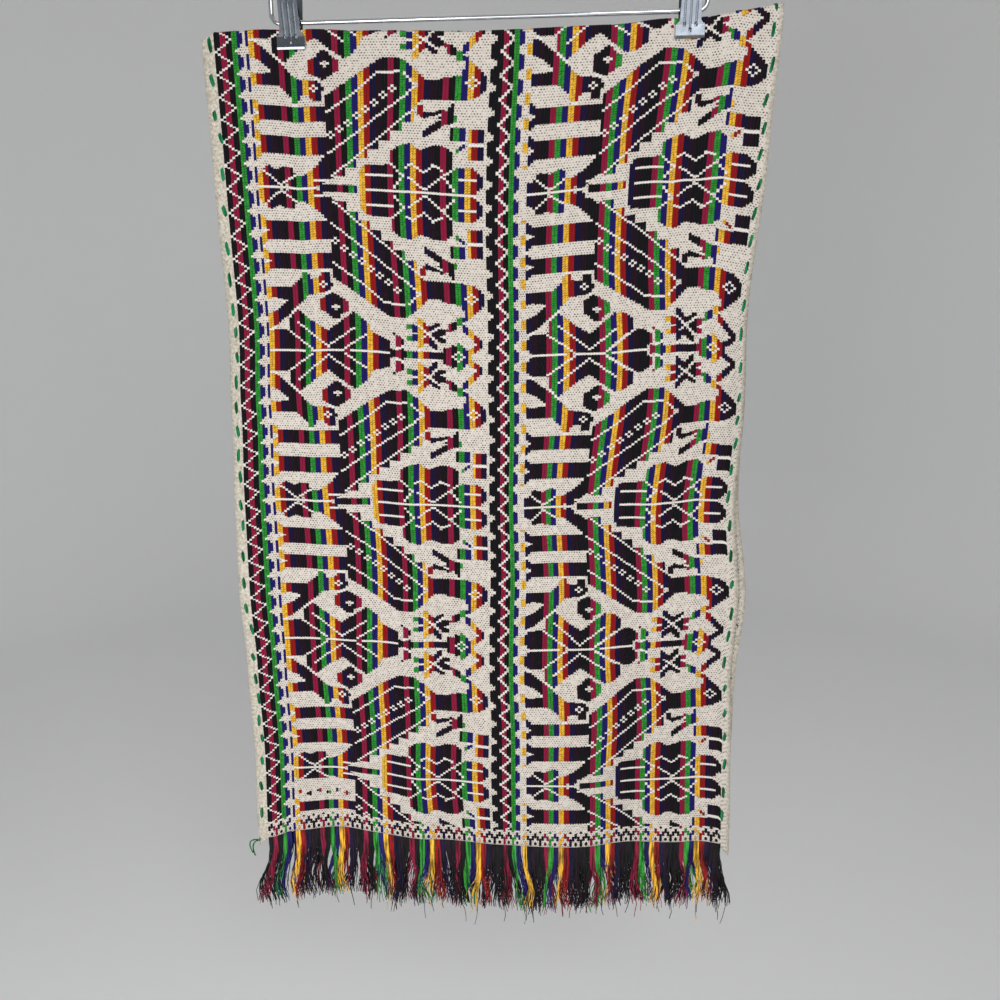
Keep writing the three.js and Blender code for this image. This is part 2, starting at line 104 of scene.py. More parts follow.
# The two selvedges: z over the bar, x from the cloth's middle.
LEFT_EDGE = (
    (0, -231), (-100, -229.5), (-235, -227), (-310, -230.5), (-390, -234), (-480, -235),
    (-550, -232), (-630, -231), (-735, -233.5),
)
RIGHT_EDGE = (
    (0, 230), (-100, 226), (-235, 217), (-310, 219), (-390, 215.5), (-480, 223), (-550, 219),
    (-630, 222), (-735, 225),
)
# Where the weave is pulled off its even columns and rows: middle as a share of the width, half
# width as a share, middle row, half height in rows, and how many millimetres at most.
PULLED_ACROSS = (
    (0.83, 0.23, 60, 62, -6), (0.42, 0.25, 60, 62, -4.8), (0.62, 0.16, 55, 55, -1.8),
    (0.75, 0.25, 132, 45, 4), (0.22, 0.23, 218, 82, 6.4), (0.5, 0.2, 195, 60, 4),
    (0.84, 0.24, 230, 75, -4), (0.42, 0.16, 328, 38, -3.4), (0.2, 0.15, 310, 50, 1.6),
    (0.74, 0.2, 290, 35, 2),
)
PULLED_DOWN = (
    (0, 0.28, 45, 42, -3.6), (0.55, 0.2, 72, 72, 3.6), (0.86, 0.16, 92, 62, -4.2),
    (1, 0.15, 128, 50, 3.4), (0.22, 0.16, 232, 110, 2.8), (0.44, 0.15, 240, 75, -3.4),
    (0.62, 0.2, 300, 64, 4), (0, 0.2, 330, 34, -3.8), (0.96, 0.2, 318, 45, -2.8),
    (0.87, 0.14, 250, 60, -1.8),
)
# Foot of the cloth: x from its middle, z over the bar.
FOOT_LINE = (
    (-231, -741), (CORNER_LEFT, -732.5), (-193, -724), (-150, -722.5), (-112, -722), (-60, -731.5),
    (0, -734.5), (80, -730), (145, -728.5), (CORNER_RIGHT, -720), (230, -731),
)
# Soft folds: middle x, half width, middle z, half height, swing to the back, lean across.
FOLDS = (
    (-150, 52, -760, 470, 6, -0.03),
    (-112, 42, -780, 420, -3, -0.05),
    (-30, 70, -800, 380, 5, 0.02),
    (62, 55, -790, 330, -5, 0.06),
    (140, 48, -770, 420, 6, 0.04),
    (224, 34, -700, 210, -7, 0),
    (236, 40, -300, 220, 10, 0),
    (-236, 30, -330, 260, 5, 0),
    (60, 90, -260, 220, -4, 0.05),
    (-60, 80, -330, 260, 4, -0.04),
)

# ---- the weave --------------------------------------------------------------------------------
COLUMNS = 189                   # raised yarns and the ground between them, selvedge to selvedge
HEM = 3                         # columns of ground in each stitched hem
ROW = 1.976                     # height of one row of the weave
FOOT_ROW = 366                  # rows from the fold to the foot of each layer
PATTERN_ROW = 357               # last row of the repeating pattern
BORDER_END = 365                # and of the border under it
BORDER_PITCH = 4                # columns from one peak of the border's zigzag to the next
HALF_REPEAT = 67                # rows from one axis of the pattern to the next
AXIS_SHIFT = 6                  # rows from the fold to the axis behind it
# The fold leaves the rows at the right selvedge: column, and the row that lies on it.
FOLD_ROW = ((0, 0), (163, 0), (176, -1.6), (184, -4.6), (189, -5.6))
# The figures sit a little lower than even rows: row, and rows of lag.
LAG = ((0, 0.9), (250, 0.8), (330, 3.1), (FOOT_ROW, 3.5))
BEAT = 2 * HALF_REPEAT / 15     # one zigzag of the side strips
TIE_ROWS = 1.7                  # a gap this short is bridged by a raised cream tie
# The beat-up of the warp isn't even: column, and its place across in even columns.
SPACING = (
    (0, 0), (3, 4.2), (9, 10.2), (15, 15.7), (25, 25.3), (33, 33), (51, 52), (69, 70.5), (87, 89.2),
    (98, 100.5), (109, 109.9), (122, 122.6), (140, 141.2), (158, 158.9), (176, 176), (186, 185.7),
    (189, 189),
)
# The figures were charted on even columns: column, and its place on the chart.
CHARTED = (
    (0, 0), (3, 2.9), (15, 14.1), (33, 32.6), (51, 51.7), (69, 70.3), (87, 89), (98, 100.4),
    (109, 109.8), (122, 122.6), (140, 141.2), (158, 158.9), (176, 176.1), (186, 186.2), (189, 189),
)
LEFT_STRIPES = ("yellow", "red", "navy", "purple", "black", "crimson", "black", "green", "blue")
RIGHT_STRIPES = ("yellow", "red", "navy", "purple", "black", "black", "crimson", "green", "blue")
SIDE_STRIPES = ("black", "crimson", "black", "green", "blue")


def stripe_colours():
    """The colour of the raised yarn in each column, None where the ground has none."""
    def pairs(stripes):
        return [name for name in stripes for _ in range(2)]

    names = [None] * HEM + pairs(SIDE_STRIPES) + [None, "blue"] + pairs(LEFT_STRIPES) * 4
    names += pairs(("yellow", "red", "navy")) + ["purple"] + ["black"] * 4
    names += pairs(("crimson", "black", "green", "blue")) + [None]
    names += pairs(("yellow", "navy", "purple")) + ["black"] * 3
    names += pairs(("crimson", "green", "blue")) + pairs(RIGHT_STRIPES) * 3
    names += pairs(("yellow", "red", "navy", "purple", "black")) + [None] * HEM
    return names


STRIPES = stripe_colours()

# The figure of one panel, half a repeat high: corners are (column, row), and row 0 is the axis
# that its moth mirrors on. The right panel repeats it on fewer columns.
PANEL_START, PANEL_END = 14, 95.6
MIDDLE_END = 107.5              # place where the strip between the panels ends
RIGHT_START, RIGHT_END = 109.6, 186.4
MOTH = (
    (14, -1), (14, 8.8), (22, 9), (22.5, 14), (26.3, 17.8), (28, 16), (33, 11.6), (37.4, 8.6),
    (42, 12.6), (47.2, 16.6), (49.8, 14.5), (52, 12), (53.5, 8.3), (56, 7.4), (60, 5.4), (60.5, -1),
)
EYE_SEED = (
    (39.6, 13.4), (41.4, 13.4), (42.8, 15.6), (45, 16.8), (45, 21), (42.6, 22.8), (39.8, 24.8),
    (36.6, 23), (35, 22), (35, 17.2), (37, 16),
)
HARE = (
    (14, 9.5), (17, 10.5), (22, 15), (26, 19), (30.5, 24), (38, 25), (40, 28), (38.5, 30.5),
    (38.5, 33), (35.5, 33), (35, 30.5), (32, 30.5), (30.5, 33.5), (28.5, 33.5), (28, 31), (24, 27),
    (14, 27), (14, 22), (17, 22.5), (22, 21.5), (18, 17.5), (14, 15.5),
)
SMALL_MOTH = (
    (14.5, 62), (16.5, 60), (18.5, 58.5), (21.5, 60), (24, 59), (27, 59), (28.5, 62), (31, 62),
    (34, 60), (37, 57), (37, 63), (34, 67.5), (14.5, 67.5),
)
CLAW = (
    (72.5, 33.5), (74, 33.5), (75, 36), (79, 35.5), (80.5, 34.5), (83, 36), (83.5, 32.5),
    (84.5, 32.5), (84.5, 37), (85.5, 37), (85.5, 39.5), (82, 40.5), (78, 43.5), (75, 45.5),
    (74.5, 43), (80.5, 38.5), (77, 37.5), (75, 38.5), (72.5, 36.5),
)
BLOOM = (
    (51.5, 60), (53.5, 57), (63, 56.5), (63, 51.5), (66, 49), (70, 48), (73.5, 50.5), (78, 48.5),
    (82, 48.5), (85, 51), (85, 56.5), (92, 56.5), (95.5, 60), (95, 63.5), (91.5, 67.5),
    (51.5, 67.5),
)
COMB_BLOCKS = ((84, 89.5, 41.5, 46.5), (90, 95.5, 42, 47), (90, 95.5, 48.5, 53.5))
COMB_LINK = ((85.5, 50), (88.5, 47.5), (89, 48.5), (86.5, 51))
AXIS_BAR = (37, 51, 65.5, 67.5)
RUNGS = ((34.8, 41), (46.8, 53.9))
RUNG_ENDS = (14, 40.5)
LAST_FIGURES = 338              # from this row to the border the left panel differs
LOZENGE_ROW, LOZENGE_PITCH = 345.4, 4
LAST_RUNG = (350, 355.4)
# The body of the big bird goes down in even stairs.
BIRD_BACK = (
    (34, 67.5), (33, 61), (37, 57), (40, 53), (40, 31), (46, 26.5), (53.5, 20.5), (60, 15.8),
    (66, 15.6), (70, 18.8), (75, 24), (80, 24), (80, 31.5), (74, 31.5), (71.5, 34),
)
STAIR_TOP, STAIR_STEP, STAIRS = (71.5, 39.8), (-4.1, 3.7), 7
# White lines: one row of ground that shows through, as (column, row) corners.
LINES = (
    ((22, 8.7), (31.4, 1)), ((26.4, 11.8), (37.2, 2), (47.3, 10)), ((43.3, 1), (51.5, 7.4)),
    ((14, 0), (28.5, 0)), ((31.4, 0), (37, 0)), ((38.5, 0), (43, 0)), ((46, 0), (60.5, 0)),
    ((40, 37.5), (50, 29.5), (58.5, 21.5), (66, 21)), ((68, 22), (71.5, 26), (68, 30)),
    ((40, 53.5), (51, 44.5), (62, 35), (68, 30)), ((42, 61.5), (51, 53.5), (61, 44.5), (72, 34)),
    ((17, 61), (22.5, 66)), ((22.5, 66), (28.5, 61.5)), ((14.5, 67), (35, 67)),
    ((35.5, 64), (51.5, 64)), ((54.5, 61), (63.5, 61)), ((54, 67), (91.5, 67)),
    ((87, 61), (93, 61)), ((69, 57), (71, 56), (75, 59), (78.5, 56), (81, 57.5)),
    ((64, 57), (67.5, 60.5)), ((65, 64.5), (67.5, 61)), ((69.5, 61), (75.5, 66), (85, 57)),
    ((82, 60.5), (85, 64.5)), ((76, 39), (80.5, 36.5)),
)
# Small rings of ground round a coloured cell: column, row, reach in cells.
HARE_EYE = (36, 28, 1)
LEFT_EYE, RIGHT_EYE = (23.5, 66, 1), (31.3, 67, 1)
# The right panel's small moth, and what it has in its own columns between the moth and the hem.
RIGHT_SMALL_MOTH = (
    (14, 62.8), (16.1, 62.2), (16.6, 60.6), (18.2, 58.9), (21.8, 59.8), (25.4, 58.4), (27.8, 58.8),
    (27.8, 62), (31, 61.8), (34, 59.6), (37, 57), (40.3, 54), (40.3, 61), (38, 62.6), (35, 65.6),
    (33.8, 67.5), (14, 67.5),
)
LEFT_WEDGE = ((36.2, 67.6), (36.8, 66.2), (43, 62.3), (52, 62.3), (52, 67.6))
RIGHT_WEDGE = ((33.8, 67.6), (35, 65.6), (40.6, 61), (40.6, 62), (52, 62), (52, 67.6))
RIGHT_FROM = 140.5              # the right moth's hind wing has its own outline
RIGHT_MOTH = (
    (140, -1), (140, 15.6), (141.4, 16.6), (143.5, 15.4), (145.6, 13.6), (145.8, 9.4),
    (147.4, 8.8), (149.6, 8.8), (151.4, 7.4), (153, 6), (153, 3.1), (151.5, 2.2), (150.8, 1),
    (150.8, -1),
)
# Between the moth and the far edge both panels have the same figures, in the left one's columns.
PANEL_STEP = 93
LEAF = (
    (60.2, 9), (61, 9), (61.2, 8.2), (62.8, 7.4), (64, 6.2), (64, 4.2), (63, 4), (62.5, 3),
    (61.5, 3), (61.1, 6),
)
BUD = (
    (58.8, -1), (58.8, 1.6), (59.4, 2), (60.8, 1.3), (62.4, 1.8), (62.8, 2.7), (64.1, 2.4),
    (64.2, -1),
)
SEED = (
    (78.2, -1), (78.3, 3.6), (80.4, 3.8), (81.3, 5.2), (82.6, 4.6), (82.8, 6.1), (83.8, 6.3),
    (84.6, 5.2), (86.4, 3.3), (87.4, 1), (87.6, -1),
)
SNAKE = (
    (84.8, 14), (85.8, 14.2), (87, 12.7), (90.3, 8.8), (92.1, 7), (92.3, 5.4), (91.4, 3.9),
    (88.3, 1.3), (87.6, -1), (85.8, -1), (85.8, 2.4), (86.8, 2.8), (89.6, 5.2), (89.8, 6),
    (86.3, 9.9), (85.2, 11),
)
TWIG = (
    (79.4, 10.4), (79.6, 13.2), (81, 14.7), (83.1, 15), (83.2, 16.6), (85, 17), (85.1, 13.6),
    (83.2, 13.4), (83, 12), (81.2, 10.8),
)
HEAD = (
    (78, 23.4), (83, 22.3), (85.4, 22.2), (85.6, 17.6), (85.2, 15), (86.4, 15.4), (88.3, 17.6),
    (91.7, 21), (93.2, 23.4), (93.4, 26.6), (91.6, 29), (89.4, 30.5), (86, 31.4), (78, 31.5),
)
STALK = (64.3, 78.1, -1, 1.6)
STAR = (
    (
        (69.2, 16.2), (70.2, 16.2), (71.4, 14), (73.1, 12.2), (75.6, 14.2), (76.8, 14.4),
        (76.6, 12.9), (72.7, 9.7), (69.2, 13.6),
    ),
    (
        (65.4, 13), (67, 13), (69.2, 12.6), (71.9, 9.2), (69.2, 6.3), (65.4, 6), (65.4, 8.2),
        (67, 8.2), (67, 8.9), (69, 8.9), (69, 9.7), (67, 9.7), (67, 10.9), (65.4, 10.9),
    ),
    (
        (79, 11.4), (76.6, 11.8), (73.6, 9.2), (76.4, 6), (79, 5.6), (79, 7.4), (77, 8.3), (79, 9.4),
    ),
    (
        (68.6, 5.8), (68.6, 3), (69.8, 3), (71.8, 5.2), (72.7, 5.2), (75, 2.4), (76.1, 2.4),
        (76.1, 4.6), (72.7, 8.7),
    ),
)
END_RINGS = ((83.5, 0, 2), (88.5, 25, 2))
BUD_LINE = ((58.4, -0.6), (64, -0.6))
RIGHT_LINES = (((141, 0), (150.6, 0)), ((136.6, 1), (146.2, 8.6)))
BIRD_EYES = 8
BIRD_EYES_FROM, BIRD_EYES_TO = (41.5, 46), (63.5, 27.3)
CROSS = (40.5, 18.5)             # a small cross of ground in the seed

# ---- finishes ---------------------------------------------------------------------------------
YARN_HEX = {
    "black": "0E0C11",
    "crimson": "861538",
    "red": "8A1215",
    "yellow": "EBB53A",
    "green": "2F9234",
    "blue": "1B155F",
    "navy": "130C31",
    "purple": "1D0A19",
}
# The ground's second colour gives both its dark flecks and the painted shade in the gaps of its weave.
GROUND_HEX, GROUND_FLECK_AND_SHADE_HEX, TIE_HEX = "D6CEC5", "2E2821", "E6E1DA"
HEM_HEX, HEM_FLECK_HEX, HEM_STITCH_HEX = "CFC9BC", "968C7B", "0C7446"
CHROME_HEX, NICKEL_HEX, SPRING_HEX = "D2D5D9", "747A82", "4E5157"
BACKDROP_HEX = "F0F1F2"
# Width in millimetres of the lumps that each finish is uneven in. Single fibres are too fine to
# show, so they are drawn as tufts.
GROUND_TUFT, GROUND_OPEN, GROUND_PATCH, HEM_FLECK = 1.111, 3.03, 71.4, 2.38
YARN_TUFT, YARN_MOTTLE = 1.429, 2.63
LOOSE_STRAND, LOOSE_TWIST = 1.613, 0.909
STEEL_SMEAR, STEEL_LINE = 8.33, 0.4
FACTOR, FROM, TO, MIXED = 0, 6, 7, 2    # a Mix node's sockets for colours, and its output


def linear(code):
    """An sRGB hex value as linear red, green, blue and alpha."""
    channels = [int(code[k:k + 2], 16) / 255 for k in (0, 2, 4)]
    return [c / 12.92 if c <= 0.04045 else ((c + 0.055) / 1.055) ** 2.4 for c in channels] + [1]


def add_node(tree, kind, sockets=(), **settings):
    """Adds a node with its settings. Sockets come in order, or by name or number, each a value,
    a link, or a node that stands for its first output."""
    node = tree.nodes.new(kind)
    for name, value in settings.items():
        setattr(node, name, value)
    for name, value in (sockets if isinstance(sockets, dict) else dict(enumerate(sockets))).items():
        if isinstance(value, bpy.types.Node):
            value = value.outputs[0]
        if isinstance(value, bpy.types.NodeSocket):
            tree.links.new(value, node.inputs[name])
        else:
            node.inputs[name].default_value = value
    return node


def start_material(name):
    """A new material, its node tree and its Principled shader."""
    material = bpy.data.materials.new(name)
    material.use_nodes = True
    shader = material.node_tree.nodes["Principled BSDF"]
    return material, material.node_tree, shader


def weave_coordinates(tree):
    """Column and row of a point on the cloth, from the piece's own map."""
    uv = add_node(tree, "ShaderNodeUVMap", uv_map="weave")
    split = add_node(tree, "ShaderNodeSeparateXYZ", (uv,))
    return split.outputs[0], split.outputs[1]


def ripple(tree, value, turns, shift=0.0):
    """0 to 1 and back, turns times for each unit of value."""
    angle = add_node(tree, "ShaderNodeMath", (value, 2 * math.pi * turns, shift),
                     operation="MULTIPLY_ADD")
    wave = add_node(tree, "ShaderNodeMath", (angle,), operation="SINE")
    return add_node(tree, "ShaderNodeMath", (wave, 0.5, 0.5), operation="MULTIPLY_ADD")


def lumps(size):
    """Scale of a noise whose lumps are size millimetres wide."""
    return 1 / (size * MM)


def cotton_ground():
    """Hand-woven cotton ground: matt, knobbly, a small gap at each crossing filled with painted shade,
    coarser hems.
    """
    material, tree, shader = start_material("cotton_ground")
    column, row = weave_coordinates(tree)
    coords = add_node(tree, "ShaderNodeTexCoord").outputs["Object"]
    tufts = add_node(tree, "ShaderNodeTexNoise",
                     {"Vector": coords, "Scale": lumps(GROUND_TUFT), "Detail": 3})
    # Every other row of knobs stands half a column on.
    place = add_node(tree, "ShaderNodeMath", (row, 0.5), operation="ADD")
    pick = add_node(tree, "ShaderNodeMath", (place, 2), operation="FLOORED_MODULO")
    second = add_node(tree, "ShaderNodeMath", (pick, 1), operation="GREATER_THAN")
    moved = add_node(tree, "ShaderNodeMath", (second, 0.5, column), operation="MULTIPLY_ADD")
    across = ripple(tree, moved, 1, -math.pi / 2)
    along = ripple(tree, row, 1, -math.pi / 2)
    round_across = add_node(tree, "ShaderNodeMath", (across,), operation="SQRT")
    round_along = add_node(tree, "ShaderNodeMath", (along,), operation="SQRT")
    knob = add_node(tree, "ShaderNodeMath", (round_across, round_along), operation="MULTIPLY")
    # The gaps at the corners of the knobs, filled with painted shade, some of them wide open and some
    # nearly shut.
    off_across = add_node(tree, "ShaderNodeMath", (1, across), operation="SUBTRACT")
    off_along = add_node(tree, "ShaderNodeMath", (1, along), operation="SUBTRACT")
    gap_across = add_node(tree, "ShaderNodeMath", (off_across, 1.5), operation="POWER")
    gap_along = add_node(tree, "ShaderNodeMath", (off_along, 1.8), operation="POWER")
    gap_shade = add_node(tree, "ShaderNodeMath", (gap_across, gap_along), operation="MULTIPLY")
    uneven = add_node(tree, "ShaderNodeTexNoise",
                      {"Vector": coords, "Scale": lumps(GROUND_OPEN), "Detail": 1})
    opened = add_node(tree, "ShaderNodeMath", (uneven, 5.6, -1.85), operation="MULTIPLY_ADD")
    at_least = add_node(tree, "ShaderNodeMath", (opened, 0.1), operation="MAXIMUM")
    depth = add_node(tree, "ShaderNodeMath", (gap_shade, at_least), operation="MULTIPLY")
    # The undyed yarn: warmer in some patches, darker between its tufts.
    pale, dark = linear(GROUND_HEX), linear(GROUND_FLECK_AND_SHADE_HEX)
    warm = [pale[0] * 0.9, pale[1] * 0.88, pale[2] * 0.86, 1]
    patch = add_node(tree, "ShaderNodeTexNoise",
                     {"Vector": coords, "Scale": lumps(GROUND_PATCH), "Detail": 2})
    body = add_node(tree, "ShaderNodeMix", {FACTOR: patch, FROM: pale, TO: warm}, data_type="RGBA")
    tuft_shade = add_node(tree, "ShaderNodeMath", (tufts, 0.4), operation="SUBTRACT")
    speck = add_node(tree, "ShaderNodeMath", (tuft_shade, 0.4), operation="MULTIPLY")
    specked = add_node(tree, "ShaderNodeMix", {FACTOR: speck, FROM: body.outputs[MIXED], TO: dark},
                       data_type="RGBA")
    # Painted shade: in the gaps the yarn's colour turns towards the dark colour.
    field = add_node(tree, "ShaderNodeMix",
                     {FACTOR: depth, FROM: specked.outputs[MIXED], TO: dark}, data_type="RGBA")
    # The stitched hems: thicker yarn, unevenly flecked.
    fleck = add_node(tree, "ShaderNodeTexNoise",
                     {"Vector": coords, "Scale": lumps(HEM_FLECK), "Detail": 3})
    flecked = add_node(tree, "ShaderNodeMath", (fleck, 2.4, -0.8), operation="MULTIPLY_ADD")
    hem = add_node(tree, "ShaderNodeMix",
                   {FACTOR: flecked, FROM: linear(HEM_HEX), TO: linear(HEM_FLECK_HEX)},
                   data_type="RGBA")
    middle = COLUMNS / 2 + 0.8
    inner = add_node(tree, "ShaderNodeMath", (column, middle), operation="SUBTRACT")
    away = add_node(tree, "ShaderNodeMath", (inner,), operation="ABSOLUTE")
    in_hem = add_node(tree, "ShaderNodeMath", (away, middle - HEM + 0.1), operation="GREATER_THAN")
    colour = add_node(tree, "ShaderNodeMix", {
        FACTOR: in_hem, FROM: field.outputs[MIXED], TO: hem.outputs[MIXED]}, data_type="RGBA")
    tree.links.new(colour.outputs[MIXED], shader.inputs["Base Color"])
    height = add_node(tree, "ShaderNodeMath", (tufts, 0.35, knob), operation="MULTIPLY_ADD")
    bump = add_node(tree, "ShaderNodeBump",
                    {"Height": height, "Strength": 0.8, "Distance": 0.35 * MM})
    tree.links.new(bump.outputs[0], shader.inputs["Normal"])
    shader.inputs["Roughness"].default_value = 0.92
    shader.inputs["Specular IOR Level"].default_value = 0.25
    shader.inputs["Sheen Weight"].default_value = 0.12
    return material


def cotton_yarn(name, colour, pick_shade=0.0):
    """Soft plied cotton yarn: matt with a little sheen, with painted shade in the grooves between its
    plies. Its last argument sets how deep the painted shade between its picks is."""
    material, tree, shader = start_material(name)
    across, row = weave_coordinates(tree)
    coords = add_node(tree, "ShaderNodeTexCoord").outputs["Object"]
    tufts = add_node(tree, "ShaderNodeTexNoise",
                     {"Vector": coords, "Scale": lumps(YARN_TUFT), "Detail": 2})
    mottle = add_node(tree, "ShaderNodeTexNoise",
                      {"Vector": coords, "Scale": lumps(YARN_MOTTLE), "Detail": 1})
    # The plies wind slantwise up the yarn, two of them in its width.
    lean = add_node(tree, "ShaderNodeMath", (row, 0.5, across), operation="MULTIPLY_ADD")
    plies = ripple(tree, lean, 2)
    # Painted shade in the grooves between the plies.
    off_plies = add_node(tree, "ShaderNodeMath", (1, plies), operation="SUBTRACT")
    groove_shade = add_node(tree, "ShaderNodeMath", (off_plies, 0.35), operation="MULTIPLY")
    # Painted shade in a hollow under each pick, deeper in some than in others.
    slant = add_node(tree, "ShaderNodeMath", (across, 0.6, row), operation="MULTIPLY_ADD")
    picks = ripple(tree, slant, 1, -math.pi / 2)
    off_picks = add_node(tree, "ShaderNodeMath", (1, picks), operation="SUBTRACT")
    hollow_shade = add_node(tree, "ShaderNodeMath", (off_picks, 2), operation="POWER")
    some = add_node(tree, "ShaderNodeMath", (mottle, 5, -1.8), operation="MULTIPLY_ADD")
    pick_shaded = add_node(tree, "ShaderNodeMath", (some, pick_shade), operation="MULTIPLY")
    deep = add_node(tree, "ShaderNodeMath", (pick_shaded, 0), operation="MAXIMUM")
    # Painted shade from the pick hollows and the ply grooves together, deeper in some tufts.
    both = add_node(tree, "ShaderNodeMath", (hollow_shade, deep, groove_shade), operation="MULTIPLY_ADD")
    rough = add_node(tree, "ShaderNodeMath", (tufts, 1.2, 0.4), operation="MULTIPLY_ADD")
    shade = add_node(tree, "ShaderNodeMath", (both, rough), operation="MULTIPLY")
    # The shaded copy of the colour that the painted shade turns towards.
    dark = [c * 0.35 for c in colour[:3]] + [1]
    mixed = add_node(tree, "ShaderNodeMix", {FACTOR: shade, FROM: colour, TO: dark}, data_type="RGBA")
    tree.links.new(mixed.outputs[MIXED], shader.inputs["Base Color"])
    height = add_node(tree, "ShaderNodeMath", (tufts, 0.4, plies), operation="MULTIPLY_ADD")
    bump = add_node(tree, "ShaderNodeBump",
                    {"Height": height, "Strength": 0.6, "Distance": 0.2 * MM})
    tree.links.new(bump.outputs[0], shader.inputs["Normal"])
    shader.inputs["Roughness"].default_value = 0.88
    shader.inputs["Specular IOR Level"].default_value = 0.15
    shader.inputs["Sheen Weight"].default_value = 0.03
    shader.inputs["Sheen Roughness"].default_value = 0.4
    return material


def cotton_loose(name, colour):
    """The same yarn hanging loose, with painted highlights and painted shade: strand by strand lighter,
    or in the painted shade of its neighbours.
    """
    material, tree, shader = start_material(name)
    coords = add_node(tree, "ShaderNodeTexCoord").outputs["Object"]
    stretched = add_node(tree, "ShaderNodeMapping", {"Vector": coords, "Scale": (1, 1, 0.07)})
    strand = add_node(tree, "ShaderNodeTexNoise",
                      {"Vector": stretched, "Scale": lumps(LOOSE_STRAND), "Detail": 2})
    twist = add_node(tree, "ShaderNodeTexNoise",
                     {"Vector": coords, "Scale": lumps(LOOSE_TWIST), "Detail": 1})
    # Painted highlights on some strands and painted shade between them, by a noise stretched along the
    # strands.
    own = add_node(tree, "ShaderNodeMath", (strand, 4.4, -1.75), operation="MULTIPLY_ADD")
    rough = add_node(tree, "ShaderNodeMath", (twist, 1.2, 0.4), operation="MULTIPLY_ADD")
    shade = add_node(tree, "ShaderNodeMath", (own, rough), operation="MULTIPLY")
    # A painted-highlight copy of the colour and a painted-shade copy.
    painted_highlight = [min(1, c * 1.22 + 0.004) for c in colour[:3]] + [1]
    dark = [c * 0.2 for c in colour[:3]] + [1]
    mixed = add_node(tree, "ShaderNodeMix", {FACTOR: shade, FROM: painted_highlight, TO: dark}, data_type="RGBA")
    tree.links.new(mixed.outputs[MIXED], shader.inputs["Base Color"])
    bump = add_node(tree, "ShaderNodeBump",
                    {"Height": twist, "Strength": 0.7, "Distance": 0.2 * MM})
    tree.links.new(bump.outputs[0], shader.inputs["Normal"])
    shader.inputs["Roughness"].default_value = 0.8
    shader.inputs["Specular IOR Level"].default_value = 0.25
    return material


def plated_steel(name, colour, roughness, streak):
    """Plated steel: a clear mirror with fine drawing lines and a few dull smears."""
    material, tree, shader = start_material(name)
    coords = add_node(tree, "ShaderNodeTexCoord").outputs["Object"]
    smear = add_node(tree, "ShaderNodeTexNoise",
                     {"Vector": coords, "Scale": lumps(STEEL_SMEAR), "Detail": 3})
    stretched = add_node(tree, "ShaderNodeMapping", {"Vector": coords, "Scale": (1, 1, 0.05)})
    lines = add_node(tree, "ShaderNodeTexNoise", {"Vector": stretched, "Scale": lumps(STEEL_LINE)})
    rough = add_node(tree, "ShaderNodeMath", (smear, roughness, roughness * 0.5),
                     operation="MULTIPLY_ADD")
    tree.links.new(rough.outputs[0], shader.inputs["Roughness"])
    dull = [c * 0.82 for c in colour[:3]] + [1]
    mixed = add_node(tree, "ShaderNodeMix", {FACTOR: smear, FROM: colour, TO: dull}, data_type="RGBA")
    tree.links.new(mixed.outputs[MIXED], shader.inputs["Base Color"])
    bump = add_node(tree, "ShaderNodeBump",
                    {"Height": lines, "Strength": streak, "Distance": 0.05 * MM})
    tree.links.new(bump.outputs[0], shader.inputs["Normal"])
    shader.inputs["Metallic"].default_value = 1
    return material


def studio_paper():
    """Matt pale backdrop paper."""
    material, tree, shader = start_material("studio_paper")
    shader.inputs["Base Color"].default_value = linear(BACKDROP_HEX)
    shader.inputs["Roughness"].default_value = 0.95
    shader.inputs["Specular IOR Level"].default_value = 0.1
    return material


# ---- shape helpers ----------------------------------------------------------------------------
def lerp(a, b, t):
    return a + (b - a) * t


def ease(t):
    c = np.clip(t, 0, 1)
    return c * c * (3 - 2 * c)


def swell(t):
    """1 in the middle, 0 from one unit away."""
    return np.cos(np.clip(t, -1, 1) * math.pi / 2) ** 2


def between(rows, at):
    """Second column of a table at places along its first, eased from row to row."""
    keys, values = np.array(sorted(rows), float).T
    k = np.clip(np.searchsorted(keys, at), 1, len(keys) - 1)
    return lerp(values[k - 1], values[k], ease((at - keys[k - 1]) / (keys[k] - keys[k - 1])))


def place_of(column, table=SPACING):
    """Place across of a column, in even columns from the left selvedge."""
    columns, places = np.array(table, float).T
    return np.interp(column, columns, places)


def pinched(x, z):
    """1 in a clip, where both layers are held flat, and 0 well away from both."""
    across = np.max([ease(1 - (np.abs(x - clip) - PINCH_ACROSS) / PINCH_FADE) for clip in CLIP_X], 0)
    return across * ease(1 - (-z - PINCH_FOOT) / PINCH_DROP)


def half_space(x, z):
    return lerp(HALF_FREE, HALF_PINCHED, pinched(x, z))


def swing(x, z):
    soft = sum(deep * swell((x - middle - lean * (z - level)) / half) * swell((z - level) / reach)
               for middle, half, level, reach, deep, lean in FOLDS)
    fine = 0.35 * np.sin(x / 15 + 1.6 * np.sin(z / 83)) + 0.3 * np.sin(z / 21 + np.sin(x / 60))
    return (soft + fine) * ease((-z - PINCH_FOOT) / PINCH_DROP)


def pulled(pulls, share, row):
    """How far the weave has moved from its even place, by one of the lists above."""
    return sum(most * swell((share - middle) / half) * swell((np.abs(row) - level) / reach)
               for middle, half, level, reach, most in pulls)


def layer_point(share, z, side):
    """A point on the middle of one layer; side is -1 on the front layer and 1 on the back one."""
    peek = np.where(side > 0, BACK_PEEK * swell((z - PEEK_Z) / PEEK_REACH), 0)
    x = CLOTH_X + lerp(between(LEFT_EDGE, z), between(RIGHT_EDGE, z) + peek, share)
    return x, side * half_space(x, z) + swing(x, z), z


